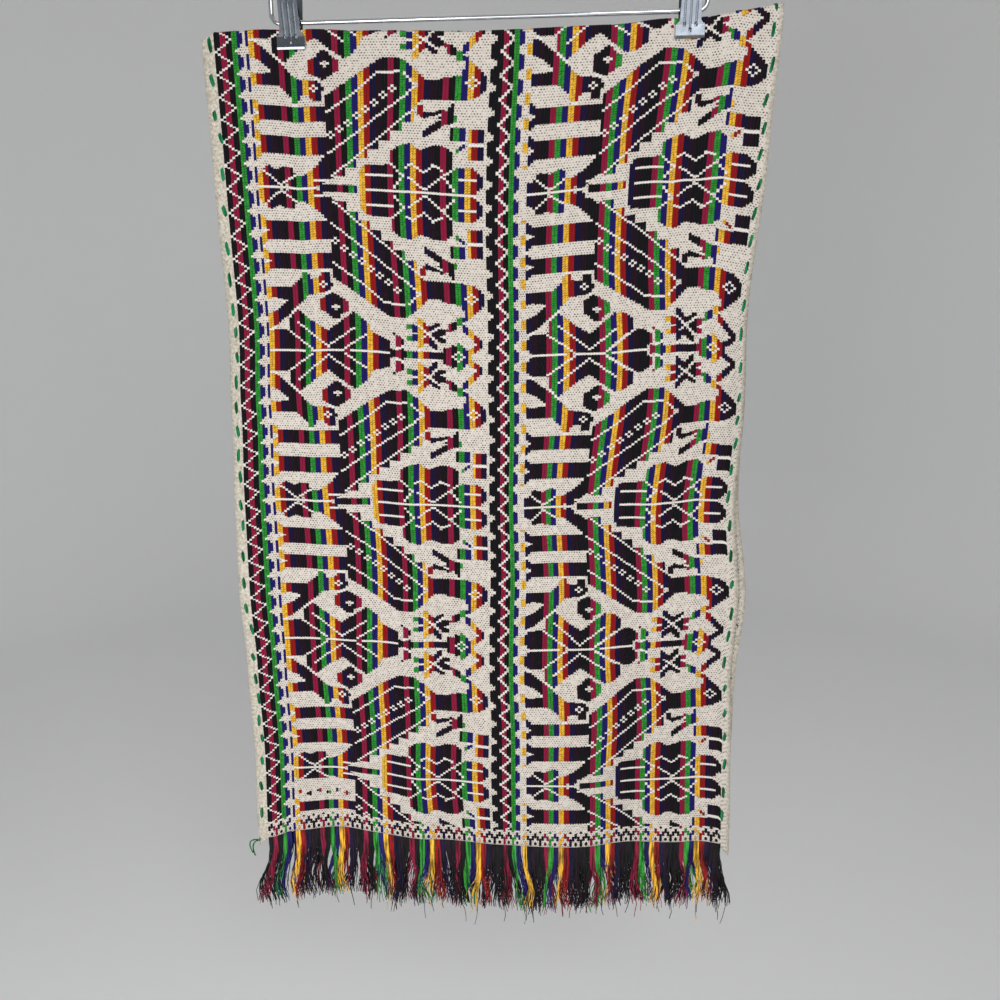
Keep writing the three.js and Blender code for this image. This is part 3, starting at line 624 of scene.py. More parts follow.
def cloth_point(column, row):
    """Middle of the cloth, rows counted from the fold: above 0 on the front layer."""
    column, row = np.broadcast_arrays(np.asarray(column, float), np.asarray(row, float))
    share = place_of(column) / COLUMNS
    fold = place_of(column, FOLD_ROW)
    side = np.where(row >= fold, -1.0, 1.0)
    top_x = lerp(LEFT_EDGE[0][1], RIGHT_EDGE[0][1], share)
    crest = between(FOLD_LINE, top_x + CLOTH_X)
    half = half_space(top_x + CLOTH_X, crest)
    top = crest - half - CLOTH_THICK / 2
    along = np.abs(row - fold) * ROW
    bend = half * math.pi / 2                       # cloth in a quarter turn over the clips
    down = np.maximum(along - bend, 0) + pulled(PULLED_DOWN, share, row)
    z = top - down * (top - between(FOOT_LINE, top_x)) / ((FOOT_ROW + side * fold) * ROW - bend)
    x, _, _ = layer_point(share, z, side)
    x = x + pulled(PULLED_ACROSS, share, row)
    y = side * half_space(x, z) + swing(x, z)
    angle = np.minimum(along, bend) / half
    on_fold = along < bend
    y = np.where(on_fold, side * half * np.sin(angle), y)
    z = np.where(on_fold, top + half * np.cos(angle), z)
    return np.stack([x, y, z + BAR_Z], -1)


def cloth_normal(column, row, step=0.3):
    """Which way the outer face looks."""
    along = cloth_point(column, row + step) - cloth_point(column, row - step)
    across = cloth_point(column + step, row) - cloth_point(column - step, row)
    normal = np.cross(along, across)
    return normal / np.linalg.norm(normal, axis=-1, keepdims=True)


# ---- mesh helpers -----------------------------------------------------------------------------
def link(name, mesh):
    piece = bpy.data.objects.new(name, mesh)
    bpy.context.scene.collection.objects.link(piece)
    return piece


def mesh_of(name, points, quads, weave=None, smooth=True):
    """A mesh from points in millimetres and rows of four corners, with its map on the weave."""
    points, quads = np.asarray(points, float) * MM, np.asarray(quads, np.int32)
    mesh = bpy.data.meshes.new(name)
    mesh.vertices.add(len(points))
    mesh.vertices.foreach_set("co", points.ravel())
    mesh.loops.add(quads.size)
    mesh.loops.foreach_set("vertex_index", quads.ravel())
    mesh.polygons.add(len(quads))
    mesh.polygons.foreach_set("loop_start", np.arange(0, quads.size, 4, dtype=np.int32))
    mesh.polygons.foreach_set("use_smooth", np.full(len(quads), smooth))
    mesh.update(calc_edges=True)
    mesh.validate()
    if weave is not None:
        layer = mesh.uv_layers.new(name="weave")
        layer.data.foreach_set("uv", np.asarray(weave, float)[quads.ravel()].ravel())
    return mesh


def finished(piece):
    """The piece with its modifiers turned into its own mesh."""
    graph = bpy.context.evaluated_depsgraph_get()
    mesh = bpy.data.meshes.new_from_object(piece.evaluated_get(graph))
    mesh.name = piece.name
    piece.modifiers.clear()
    piece.data = mesh
    return piece


def seated(piece, slot, *nodes):
    """Rides a finished piece on the body and hides the nodes it stands for. Its finish slot is not used.
    """
    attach(piece, BODY)
    if nodes:
        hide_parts(*nodes)
    return piece


def grid_quads(columns, rows):
    """Quads of a grid whose points run down each column in turn."""
    i, j = np.meshgrid(np.arange(columns - 1), np.arange(rows - 1), indexing="ij")
    a = (i * rows + j).ravel()
    return np.stack([a, a + rows, a + rows + 1, a + 1], -1)


def strand_tree():
    """Geometry Nodes: sweeps a round section along every line of a mesh."""
    tree = bpy.data.node_groups.new("swept_strand", "GeometryNodeTree")
    face = tree.interface
    face.new_socket("Lines", in_out="INPUT", socket_type="NodeSocketGeometry")
    face.new_socket("Radius", in_out="INPUT", socket_type="NodeSocketFloat")
    face.new_socket("Sides", in_out="INPUT", socket_type="NodeSocketInt")
    face.new_socket("Finish", in_out="INPUT", socket_type="NodeSocketMaterial")
    face.new_socket("Strands", in_out="OUTPUT", socket_type="NodeSocketGeometry")
    given = add_node(tree, "NodeGroupInput").outputs
    girth = add_node(tree, "GeometryNodeInputNamedAttribute", {"Name": "girth"}, data_type="FLOAT")
    line = add_node(tree, "GeometryNodeMeshToCurve", {"Mesh": given["Lines"]})
    section = add_node(tree, "GeometryNodeCurvePrimitiveCircle",
                       {"Resolution": given["Sides"], "Radius": given["Radius"]})
    swept = add_node(tree, "GeometryNodeCurveToMesh", {
        "Curve": line, "Profile Curve": section, "Scale": girth, "Fill Caps": True})
    smooth = add_node(tree, "GeometryNodeSetShadeSmooth", {"Geometry": swept})
    real = add_node(tree, "GeometryNodeRealizeInstances", {"Geometry": smooth})
    painted = add_node(tree, "GeometryNodeSetMaterial",
                       {"Geometry": real, "Material": given["Finish"]})
    add_node(tree, "NodeGroupOutput", {"Strands": painted})
    return tree


def grown(name, mesh, tree, **values):
    """A piece that a node tree grows from a mesh, as a plain mesh."""
    piece = link(name, mesh)
    modifier = piece.modifiers.new("grow", "NODES")
    modifier.node_group = tree
    for item in tree.interface.items_tree:
        if item.in_out == "INPUT" and item.name in values:
            modifier[item.identifier] = values[item.name]
    return finished(piece)


def lines_mesh(name, lines, girths=None):
    """A mesh of open lines of points in millimetres, each with how thick it is along its way."""
    points = np.concatenate(lines)
    ends = np.cumsum([len(line) for line in lines])
    first = np.setdiff1d(np.arange(len(points) - 1), ends - 1)
    mesh = bpy.data.meshes.new(name)
    mesh.from_pydata(points * MM, np.stack([first, first + 1], -1).tolist(), [])
    girth = mesh.attributes.new("girth", "FLOAT", "POINT")
    values = np.ones(len(points)) if girths is None else np.concatenate(girths)
    girth.data.foreach_set("value", values.astype(np.float32))
    return mesh


# ---- hanger shapes ----------------------------------------------------------------------------
def bent_line(corners):
    """Points in the plane y = 0 along corners (x, z, bend), each turned on its bend radius."""
    points = []
    for k, (x, z, bend) in enumerate(corners):
        here = np.array([x, z], float)
        if not bend:
            points.append(here)
            continue
        before, after = (np.array(corners[j][:2]) - here for j in (k - 1, k + 1))
        before, after = before / np.linalg.norm(before), after / np.linalg.norm(after)
        half_open = math.acos(before @ after) / 2
        middle = before + after
        centre = here + middle / np.linalg.norm(middle) * bend / math.sin(half_open)
        start = here + before * bend / math.tan(half_open) - centre
        turn = math.copysign(math.pi - 2 * half_open, start[1] * before[0] - start[0] * before[1])
        for angle in np.linspace(0, turn, BEND_STEPS):
            cos, sin = math.cos(angle), math.sin(angle)
            points.append(centre + [cos * start[0] - sin * start[1], sin * start[0] + cos * start[1]])
    return np.array([(x, 0, z) for x, z in points])


def arc(x, z, radius, start, stop):
    angles = np.linspace(start, stop, 3 * BEND_STEPS)
    return np.stack([x + radius * np.cos(angles), 0 * angles, z + radius * np.sin(angles)], -1)


def plate_y(z):
    """Inner face of a front clip plate, z over the bar."""
    return -(HALF_PINCHED + CLOTH_THICK / 2 + GAP) - np.maximum(0, z - JAW_BEND) * PLATE_LEAN


def ear_reach(angle):
    """How far an ear's outline lies from the bar, at an angle from straight forward."""
    corners = np.array([
        (0, -EAR_RADIUS), (plate_y(EAR_LOW) - 0.2, EAR_LOW), (plate_y(EAR_HIGH) - 0.2, EAR_HIGH),
        (0, EAR_RADIUS)])
    ray = np.array([-math.cos(angle), math.sin(angle)])
    reach = EAR_RADIUS
    for a, b in zip(corners, corners[1:]):
        side = b - a
        across = ray[0] * side[1] - ray[1] * side[0]
        far = (a[0] * side[1] - a[1] * side[0]) / across if abs(across) > 1e-6 else 0
        along = (a[0] * ray[1] - a[1] * ray[0]) / across if abs(across) > 1e-6 else -1
        if far > 0 and 0 <= along <= 1:
            reach = max(reach, far)
    return reach


def joined_quads(parts):
    """Points and quads of several shapes as one."""
    points = np.concatenate([part[0] for part in parts])
    shifts = np.cumsum([0] + [len(part[0]) for part in parts[:-1]])
    return points, np.concatenate([np.asarray(part[1]) + n for part, n in zip(parts, shifts)])


# ---- the chart of the weave -------------------------------------------------------------------
def block(left, right, low, high):
    return ((left, low), (left, high), (right, high), (right, low))


def bird():
    """The big bird: its back as charted, then even stairs down its belly."""
    corners = list(BIRD_BACK)
    x, y = STAIR_TOP
    for _ in range(STAIRS):
        corners += [(x, y), (x + STAIR_STEP[0], y)]
        x, y = x + STAIR_STEP[0], y + STAIR_STEP[1]
    return corners


def rung(low, high):
    """One bar of the ladder, with a forked left end."""
    left, right = RUNG_ENDS
    middle = (low + high) / 2
    return (
        (left, low - 2), (left + 1.2, low - 2), (left + 2.5, low), (right, low), (right, high),
        (left + 2.5, high), (left + 1.2, high + 2), (left, high + 2), (left, middle + 1.7),
        (left + 2.9, middle), (left, middle - 1.7),
    )


def inside(outline, x, y):
    """Even-odd test of points against a closed outline."""
    hit = np.zeros(x.shape, bool)
    for (x0, y0), (x1, y1) in zip(outline, list(outline[1:]) + [outline[0]]):
        if x0 != x1:
            under = y > y0 + (x - x0) * (y1 - y0) / (x1 - x0)
            hit ^= (x >= min(x0, x1)) & (x < max(x0, x1)) & under
    return hit


def near_line(corners, x, y):
    """Cells that a one-row line goes through."""
    hit = np.zeros(x.shape, bool)
    for start, end in zip(corners, corners[1:]):
        (x0, y0), (x1, y1) = sorted((start, end))
        if x1 - x0 < 1:
            hit |= (np.abs(x - x0) < 0.5) & (y > min(y0, y1)) & (y < max(y0, y1))
            continue
        slope = (y1 - y0) / (x1 - x0)
        level = y0 + (x - x0) * slope
        hit |= (x > x0 - 0.5) & (x < x1 + 0.5) & (np.abs(y - level) < 0.5 * max(1, abs(slope)))
    return hit


def any_inside(patches, x, y):
    return np.any([inside(patch, x, y) for patch in patches], 0)


def off_ring(ring, x, y):
    """True off a small ring of ground round a coloured cell."""
    column, row, reach = ring
    return np.abs(np.round(np.abs(x - column)) + np.round(np.abs(y - row)) - reach) > 0.5


def panel_cells(x, y, column, on_right):
    """True where the figure of a panel is coloured, at places in the left panel's columns."""
    own = np.where(on_right, column - PANEL_STEP, column)
    shared = [EYE_SEED, HARE, CLAW, BLOOM, COMB_LINK, bird()] + [rung(*rows) for rows in RUNGS]
    shared += [block(*sides) for sides in COMB_BLOCKS]
    on = any_inside(shared, x, y)
    left = (on | any_inside([MOTH, SMALL_MOTH], x, y)) & ~inside(LEFT_WEDGE, x, y)
    right = (on | inside(RIGHT_SMALL_MOTH, x, y)) & ~inside(RIGHT_WEDGE, x, y)
    right |= inside(MOTH, x, y) & (column < RIGHT_FROM) | inside(RIGHT_MOTH, column, y)
    # The left wing of the right moth has a round edge to each half.
    right &= (x > 17.5) | (y > 9.5) | (np.abs(y - 4.8) < 1.4 + 1.3 * (x - 14))
    on = np.where(on_right, right, left) | inside(block(*AXIS_BAR), x, y)
    for corners in LINES:
        on &= ~near_line(corners, x, y)
    for corners in RIGHT_LINES:
        on &= ~near_line(corners, column, y) | ~on_right
    on |= any_inside([LEAF, BUD, SEED, SNAKE, TWIG, HEAD, block(*STALK), *STAR], own, y)
    on &= ~near_line(BUD_LINE, own, y)
    rings = [HARE_EYE]
    for k in range(BIRD_EYES):
        share = k / (BIRD_EYES - 1)
        rings.append([lerp(a, b, share) for a, b in zip(BIRD_EYES_FROM, BIRD_EYES_TO)] + [1])
    for ring in rings:
        on &= off_ring(ring, x, y)
    for ring in END_RINGS:
        on &= off_ring(ring, own, y)
    on &= off_ring(LEFT_EYE, x, y) | on_right
    on &= off_ring(RIGHT_EYE, x, y) | ~on_right
    across, along = np.abs(x - CROSS[0]), np.abs(y - CROSS[1])
    return on & ~((across < 1.6) & (along < 0.6) | (across < 0.6) & (along < 1.3))


def from_turn(y):
    """Rows from the nearest turn of the side strips' zigzag."""
    return np.abs(y - BEAT * np.round(y / BEAT))


def zigzag(x, turn, peak, valley, thick):
    """A line of ground that runs from column peak to column valley and back in each beat."""
    return np.abs(turn - (peak - x) / (peak - valley) * BEAT / 2) < thick


def left_strip(x, turn):
    """The narrow strip by the left hem: a white zigzag over four stripes, and blue dashes."""
    on = x < 13
    on &= ~((x < 9) & zigzag(x, turn, 8.7, 3.3, 0.42))
    on &= ~((x > 10) & (x < 11) & (turn > BEAT / 2 - 0.5))
    on &= ~((x > 11) & (x < 12) & (turn > 3.2))
    on &= ~((x > 12) & (turn > 1.9))
    return on | ((x > 13.9) & (turn < BEAT / 2 - 1.4))


def middle_strip(x, turn):
    """The strip between the panels: teeth, a white zigzag, and two columns of dashes."""
    teeth = (x < 98.7) & (turn < 0.3 + (98.7 - x) * 0.75)
    on = (x > 96.2) & ~teeth
    on &= ~((x > 99.4) & (x < 103.8) & zigzag(x, turn, 103.9, 99.8, 0.7))
    on &= ~((x > 105.6) & (x < 106.6) & (turn > 3.1))
    return on & ~((x > 106.6) & (turn > 2.3))


def border_cells(column, depth):
    """The border under the pattern: dots, a zigzag band with peaks, and a dot under each peak."""
    phase = column % BORDER_PITCH
    fall = np.minimum(phase, BORDER_PITCH - phase)      # 0 at a peak, 2 in a valley
    band = (depth > 1.2 + 1.5 * fall) & (depth < 3.6 + 1.6 * fall)
    foot = (fall == 2) & (depth > 4)
    over = (fall == 2) & (depth > 0.2) & (depth < 1.3)
    under = (fall == 0) & (depth > 6.2) & (depth < 7.8)
    return band | foot | over | under


def last_cells(x, row):
    """The end of the front layer's left panel: a row of tiny lozenges, then one last rung."""
    step = (x - RUNG_ENDS[0] - 2.5) / LOZENGE_PITCH
    middle = LOZENGE_ROW + np.where(np.round(step) % 2, 0.6, -0.6)
    away = np.abs(step - np.round(step)) * LOZENGE_PITCH + np.abs(row - middle)
    lozenge = (away < 1.3) & (x < RUNG_ENDS[1] - 2)
    return lozenge | inside(rung(*LAST_RUNG), x, row)


def shown_cells():
    """Columns by half rows, from the back layer's foot over the fold: True where a yarn shows."""
    column = np.arange(COLUMNS)[:, None]
    rows = np.arange(-2 * FOOT_ROW, 2 * FOOT_ROW + 1)[None, :] / 2
    x = place_of(column + 0.5, CHARTED) + 0.0 * rows
    around = (rows - place_of(rows, LAG) + AXIS_SHIFT) % (2 * HALF_REPEAT)
    y = np.minimum(around, 2 * HALF_REPEAT - around) + 0.0 * x
    width = (PANEL_END - PANEL_START) / (RIGHT_END - RIGHT_START)
    on_right = x >= RIGHT_START
    panel_x = np.where(on_right, PANEL_START + (x - RIGHT_START) * width, x)
    on = panel_cells(panel_x, y, column + 0.5 + 0.0 * y, on_right)
    turn = from_turn(y)
    on = np.where(x < PANEL_START + 0.1, left_strip(column + 0.5 + 0.0 * y, turn), on)
    on = np.where((x > PANEL_END) & (x < MIDDLE_END), middle_strip(x, turn), on)
    on = np.where((x > MIDDLE_END) & ~on_right, (turn > 2.5) & (y < 57), on)
    depth = np.abs(rows) - PATTERN_ROW
    by_rungs = (panel_x > RUNG_ENDS[0]) & (panel_x < RUNG_ENDS[1]) & ~on_right
    on = np.where(by_rungs & (rows > LAST_FIGURES), last_cells(panel_x, rows), on)
    on = np.where(depth > 0, border_cells(column, depth), on)
    has_yarn = np.array([name is not None for name in STRIPES])[:, None]
    return on & has_yarn & (np.abs(rows) <= BORDER_END)


def float_runs():
    """Where each raised yarn comes up and goes down: column, first row, last row. A cell is half
    a row high, so a run starts a quarter row before the middle of its first cell."""
    shown = shown_cells()
    runs = []
    for column in range(COLUMNS):
        edges = np.flatnonzero(np.diff(np.pad(shown[column].astype(int), 1)))
        for start, stop in edges.reshape(-1, 2) / 2 - FOOT_ROW:
            runs.append((column, start - 0.25, stop - 0.25))
    return runs


def tie_runs(runs):
    """The short gaps along a column, where a cream yarn ties the coloured one down."""
    return [(column, stop, start) for (column, _, stop), (after, start, _) in zip(runs, runs[1:])
            if after == column and start - stop < TIE_ROWS]


# ---- sizes and colours that a user would change -----------------------------------------------
class RunnerSizes(bpy.types.PropertyGroup):
    """Sizes of the cloth's threads and of what hangs from it."""
    ground_thick: FloatProperty(
        name="Ground thickness", description="Thickness of the woven ground",
        default=0.7 * MM, unit="LENGTH")
    yarn_rise: FloatProperty(
        name="Yarn rise", description="Height of the raised yarns over the middle of the cloth",
        default=0.78 * MM, unit="LENGTH")
    strand_radius: FloatProperty(
        name="Fringe strand", description="Radius of one loose strand of the fringe",
        default=0.5 * MM, unit="LENGTH")
    strands: IntProperty(
        name="Strands in a column", description="Loose strands under each raised yarn", default=5)
    fringe_length: FloatProperty(
        name="Fringe length", description="Usual length of the loose strands",
        default=72 * MM, unit="LENGTH")
    seed: IntProperty(name="Seed", description="Seed of every uneven length and bend", default=7)


class RunnerColours(bpy.types.PropertyGroup):
    """Colours of the cotton."""


for stripe, code in YARN_HEX.items():
    RunnerColours.__annotations__[stripe] = FloatVectorProperty(
        name=stripe.capitalize() + " yarn", description="Colour of the " + stripe + " raised yarns",
        subtype="COLOR", size=4, min=0, max=1, default=linear(code))


class StudioSettings(bpy.types.PropertyGroup):
    """Strengths of the soft lights."""
    key: FloatProperty(name="Key", description="Power of the key light", default=5.5, unit="POWER")
    fill: FloatProperty(name="Fill", description="Power of the fill light", default=9.5, unit="POWER")
    front: FloatProperty(name="Front", description="Power of the front light", default=1.3, unit="POWER")
    top: FloatProperty(name="Top", description="Power of the top light", default=1.5, unit="POWER")
    world: FloatProperty(name="Room", description="Strength of the room's own light", default=0.42)


# ---- the pieces -------------------------------------------------------------------------------
class RUNNER_OT_camera(bpy.types.Operator):
    """Places the camera in front of the runner, a little over its middle"""
    bl_idname = "runner.camera"
    bl_label = "Place Camera"

    PLACE = (46.9, -654.5, -454.9)
    YAW, PITCH, ROLL = -3.31, 11.24, -0.31
    LENS = 27

    def execute(self, context):
        yaw, pitch, roll = (math.radians(a) for a in (self.YAW, self.PITCH, self.ROLL))
        turn = (Matrix.Rotation(-yaw, 3, "Z") @ Matrix.Rotation(math.pi / 2 - pitch, 3, "X")
                @ Matrix.Rotation(roll, 3, "Z"))
        data = bpy.data.cameras.new("camera")
        data.lens = self.LENS
        data.sensor_width = 36
        camera = link("camera", data)
        camera.matrix_world = Matrix.Translation(Vector(self.PLACE) * MM) @ turn.to_4x4()
        context.scene.camera = camera
        return {"FINISHED"}


class RUNNER_OT_ground_cloth(bpy.types.Operator):
    """Makes the woven cotton ground, one sheet folded in half over the top"""
    bl_idname = "runner.ground_cloth"
    bl_label = "Make Ground Cloth"

    COLUMN_STEP = 1.5
    ROW_STEP = 3
    FOLD_ROWS, FOLD_STEP = 9, 0.5

    def execute(self, context):
        sizes = context.scene.runner_sizes
        columns = np.arange(0, COLUMNS + 0.01, self.COLUMN_STEP)
        leg = np.arange(self.FOLD_ROWS, FOOT_ROW + 0.01, self.ROW_STEP)
        fold = np.arange(-self.FOLD_ROWS + self.FOLD_STEP, self.FOLD_ROWS, self.FOLD_STEP)
        rows = np.concatenate([-leg[::-1], fold, leg])
        c, r = np.meshgrid(columns, rows, indexing="ij")
        points = cloth_point(c, r).reshape(-1, 3)
        weave = np.stack([c.ravel(), r.ravel()], -1)
        quads = grid_quads(len(columns), len(rows))[:, ::-1]
        cloth = link("runner_ground", mesh_of("runner_ground", points, quads, weave))
        cloth.data.materials.append(cotton_ground())
        wall = cloth.modifiers.new("thickness", "SOLIDIFY")
        wall.thickness = sizes.ground_thick
        wall.offset = 0
        seated(finished(cloth), "cloth", "runner_cloth")
        return {"FINISHED"}


class RUNNER_OT_raised_yarns(bpy.types.Operator):
    """Lays the coloured yarns on the ground, a strip for each place where one shows"""
    bl_idname = "runner.raised_yarns"
    bl_label = "Lay Raised Yarns"

    # Along a strip's end: rows from the end, share of the width, share of the rise.
    END = ((0, 0.6, 0.55), (0.3, 1, 1))
    STEP, FOLD_STEP, FOLD_ROWS = 4, 0.5, 5
    HALF_WIDTH, CROWN = 0.52, 0.74         # in columns, and the crown's share of it
    EDGE = 0.45                            # height of a strip's edges, over the ground
    REACH = 0.14                           # rows that a strip bulges past its own cells
    JITTER = 0.12
    LOWEST = 0.94                          # share of the rise that the flattest yarn has
    # How deep the painted shade between a yarn's picks is.
    PICK_SHADES = {"yellow": 1.2, "green": 1.7, "black": 0}
    USUAL_PICK_SHADE = 0.15
    TIE_REACH, TIE_END, TIE_MIDDLE = 0.1, (0.9, 0.4), (1.06, 0.9)

    def stations(self, start, stop):
        """Rows along one strip, with the width and rise there."""
        short = min(1.0, (stop - start) / (2 * self.END[-1][0]) * 0.8)
        head = [(start + row * short, wide, rise) for row, wide, rise in self.END]
        tail = [(stop - row * short, wide, rise) for row, wide, rise in reversed(self.END)]
        row, last = head[-1][0], tail[0][0]
        body = []
        while True:
            near_fold = abs(row) < self.FOLD_ROWS + self.STEP
            row += self.FOLD_STEP if near_fold else self.STEP
            if row > last - self.FOLD_STEP / 2:
                break
            body.append((row, 1, 1))
        return head + body + tail

    def tie_stations(self, start, stop):
        return [(start - self.TIE_REACH, *self.TIE_END), ((start + stop) / 2, *self.TIE_MIDDLE),
                (stop + self.TIE_REACH, *self.TIE_END)]

    def strip_mesh(self, name, runs, rise, rng, ties=False):
        table = []
        for column, start, stop in runs:
            if not ties:
                start = start - self.REACH + rng.uniform(0, self.JITTER)
                stop = stop + self.REACH - rng.uniform(0, self.JITTER)
            lift = rng.uniform(self.LOWEST, 1.0)
            for row, wide, high in (self.tie_stations if ties else self.stations)(start, stop):
                table.append((column + 0.5, row, wide * self.HALF_WIDTH, high * lift, stop))
        c, r, wide, high, stop = np.array(table).T
        normal = cloth_normal(c, r)
        points, weave = [], []
        for across, top in ((-1, 0), (-self.CROWN, 1), (self.CROWN, 1), (1, 0)):
            rising = np.where(top, rise * high, self.EDGE * high)
            points.append(cloth_point(c + across * wide, r) + normal * rising[:, None])
            weave.append(np.stack([across * 0.5 * np.ones_like(r), r], -1))
        points = np.stack(points, 1).reshape(-1, 3)
        weave = np.stack(weave, 1).reshape(-1, 2)
        joined = np.flatnonzero(stop[1:] == stop[:-1]) * 4
        around = [(joined + k, joined + (k + 1) % 4, joined + 4 + (k + 1) % 4, joined + 4 + k)
                  for k in range(4)]
        starts = np.concatenate([[0], np.flatnonzero(stop[1:] != stop[:-1]) + 1]) * 4
        ends = np.concatenate([starts[1:] - 4, [len(points) - 4]])
        caps = [(starts + 3, starts + 2, starts + 1, starts), (ends, ends + 1, ends + 2, ends + 3)]
        quads = np.concatenate([np.stack(corners, -1) for corners in around + caps])
        return mesh_of(name, points, quads, weave)

    def execute(self, context):
        sizes, colours = context.scene.runner_sizes, context.scene.runner_colours
        rng = np.random.default_rng(sizes.seed)
        runs = float_runs()
        for stripe in YARN_HEX:
            pick_shade = self.PICK_SHADES.get(stripe, self.USUAL_PICK_SHADE)
            finish = cotton_yarn("cotton_yarn_" + stripe, list(getattr(colours, stripe)), pick_shade)
            for layer, sign in (("front", 1), ("back", -1)):
                own = [run for run in runs
                       if STRIPES[run[0]] == stripe and (run[1] + run[2]) * sign + 0.1 > 0]
                name = "yarn_" + stripe + "_" + layer
                piece = link(name, self.strip_mesh(name, own, sizes.yarn_rise / MM, rng))
                piece.data.materials.append(finish)
                seated(piece, "cloth")
        self.lay_ties(tie_runs(runs), sizes, rng)
        return {"FINISHED"}

    def lay_ties(self, ties, sizes, rng):
        """The raised cream ties that draw the white lines between coloured fields."""
        finish = cotton_yarn("cotton_yarn_cream", linear(TIE_HEX))
        for layer, sign in (("front", 1), ("back", -1)):
            own = [tie for tie in ties if (tie[1] + tie[2]) * sign + 0.1 > 0]
            name = "yarn_cream_" + layer
            piece = link(name, self.strip_mesh(name, own, sizes.yarn_rise / MM, rng, True))
            piece.data.materials.append(finish)
            seated(piece, "cloth")


class RUNNER_OT_fringe(bpy.types.Operator):
    """Hangs the loose ends of the coloured yarns under both layers"""
    bl_idname = "runner.fringe"
    bl_label = "Hang Fringe"

    POINTS, SIDES = 13, 4
    ROOT = 0.8                      # how far a strand starts over the cloth's foot
    SPLAY, SPLAY_AT = 5, 172        # lean of the tips at this distance from the middle
    SHORTER = 9                     # how much shorter the right end is than the left
    UNEVEN, TAIL, TAIL_SHARE = 3.8, 20, 0.985
    # Shares of the length where a strand leaves the cloth's plane and its own tuft, and over how
    # much of the length it does so.
    FREE, LOOSE = (0.12, 0.75), (0.38, 0.62)
    TUFTS = ((3.6, 10.5, 1), (2.6, 5.1, 2))     # sway, spacing across and phase
    LOCK_SWAY, LOCK_WAVE, LOCK_BEND, TUFT_SWAY, OWN_SWAY = 2.4, 2.2, 9.5, 2.7, 2.2
    CRIMP, CRIMP_LENGTHS, CRIMP_FROM = 0.35, (1.9, 2.8), 18
    THINNER = 0.4                   # share of its thickness that a strand loses to its tip

    def strand(self, column, part, side, length, lock, tuft_sway, rng):
        """One loose strand: flat in its stripe's lock at first, on its own near the tip."""
        share = place_of(column + part) / COLUMNS
        top_x = float(lerp(LEFT_EDGE[0][1], RIGHT_EDGE[0][1], share))
        foot = float(between(FOOT_LINE, np.clip(top_x, CORNER_LEFT, CORNER_RIGHT)))
        x0, _, _ = layer_point(share, foot, side)
        t = np.linspace(0, 1, self.POINTS)
        down = -self.ROOT + t * (length + self.ROOT)
        free, loose = (ease((down / length - first) / over) for first, over in (self.FREE, self.LOOSE))
        sway, phase, depth = lock
        lean = self.SPLAY * (x0 / self.SPLAY_AT) ** 3
        tuft = sum(far * math.sin(x0 / pitch + turn * side) for far, pitch, turn in self.TUFTS)
        wave = self.LOCK_WAVE * (np.sin(down / self.LOCK_BEND + phase) - math.sin(phase))
        crimp = self.CRIMP * np.sin(down / rng.uniform(*self.CRIMP_LENGTHS) + rng.uniform(0, 6.3))
        x = x0 + (lean + tuft + sway + wave) * free + crimp * ease(down / self.CRIMP_FROM)
        x = x + (tuft_sway + rng.normal(0, self.OWN_SWAY)) * loose ** 1.5
        z = foot - down
        y = swing(x, np.maximum(z, FRINGE_STILL)) + side * lerp(HALF_FREE + 0.5, HALF_FREE, free)
        depth = depth + rng.normal(0, 0.7) + rng.uniform(0.1, 0.5) * np.cos(down / 6 + x0)
        return np.stack([x, y + depth * free, z + BAR_Z], -1)

    def execute(self, context):
        sizes, colours = context.scene.runner_sizes, context.scene.runner_colours
        rng = np.random.default_rng(sizes.seed + 1)
        tree = strand_tree()
        girth = 1 - self.THINNER * np.linspace(0, 1, self.POINTS) ** 3
        lines = {stripe: [] for stripe in YARN_HEX}
        for side in (-1, 1):
            lock, before = None, None
            for column, stripe in enumerate(STRIPES):
                if stripe != before:
                    lock = (rng.normal(0, self.LOCK_SWAY), rng.uniform(0, 6.3), rng.normal(0, 0.9))
                before = stripe
                usual = sizes.fringe_length / MM - self.SHORTER * column / COLUMNS
                tuft_sway = rng.normal(0, self.TUFT_SWAY)
                for k in range(sizes.strands if stripe else 0):
                    length = usual + rng.normal(0, self.UNEVEN)
                    length += self.TAIL * rng.uniform(0.5, 1) * (rng.random() > self.TAIL_SHARE)
                    part = (k + 0.5) / sizes.strands
                    strand = self.strand(column, part, side, length, lock, tuft_sway, rng)
                    lines[stripe].append(strand)
        for stripe, strands in lines.items():
            name = "fringe_" + stripe
            # Each stripe's strands get the loose yarn's painted highlights and painted shade.
            finish = cotton_loose("cotton_" + name, list(getattr(colours, stripe)))
            source = lines_mesh(name, strands, [girth] * len(strands))
            piece = grown(name, source, tree, Radius=sizes.strand_radius, Sides=self.SIDES,
                          Finish=finish)
            seated(piece, "fringe_yarn", "fringe_front", "fringe_back")
        return {"FINISHED"}


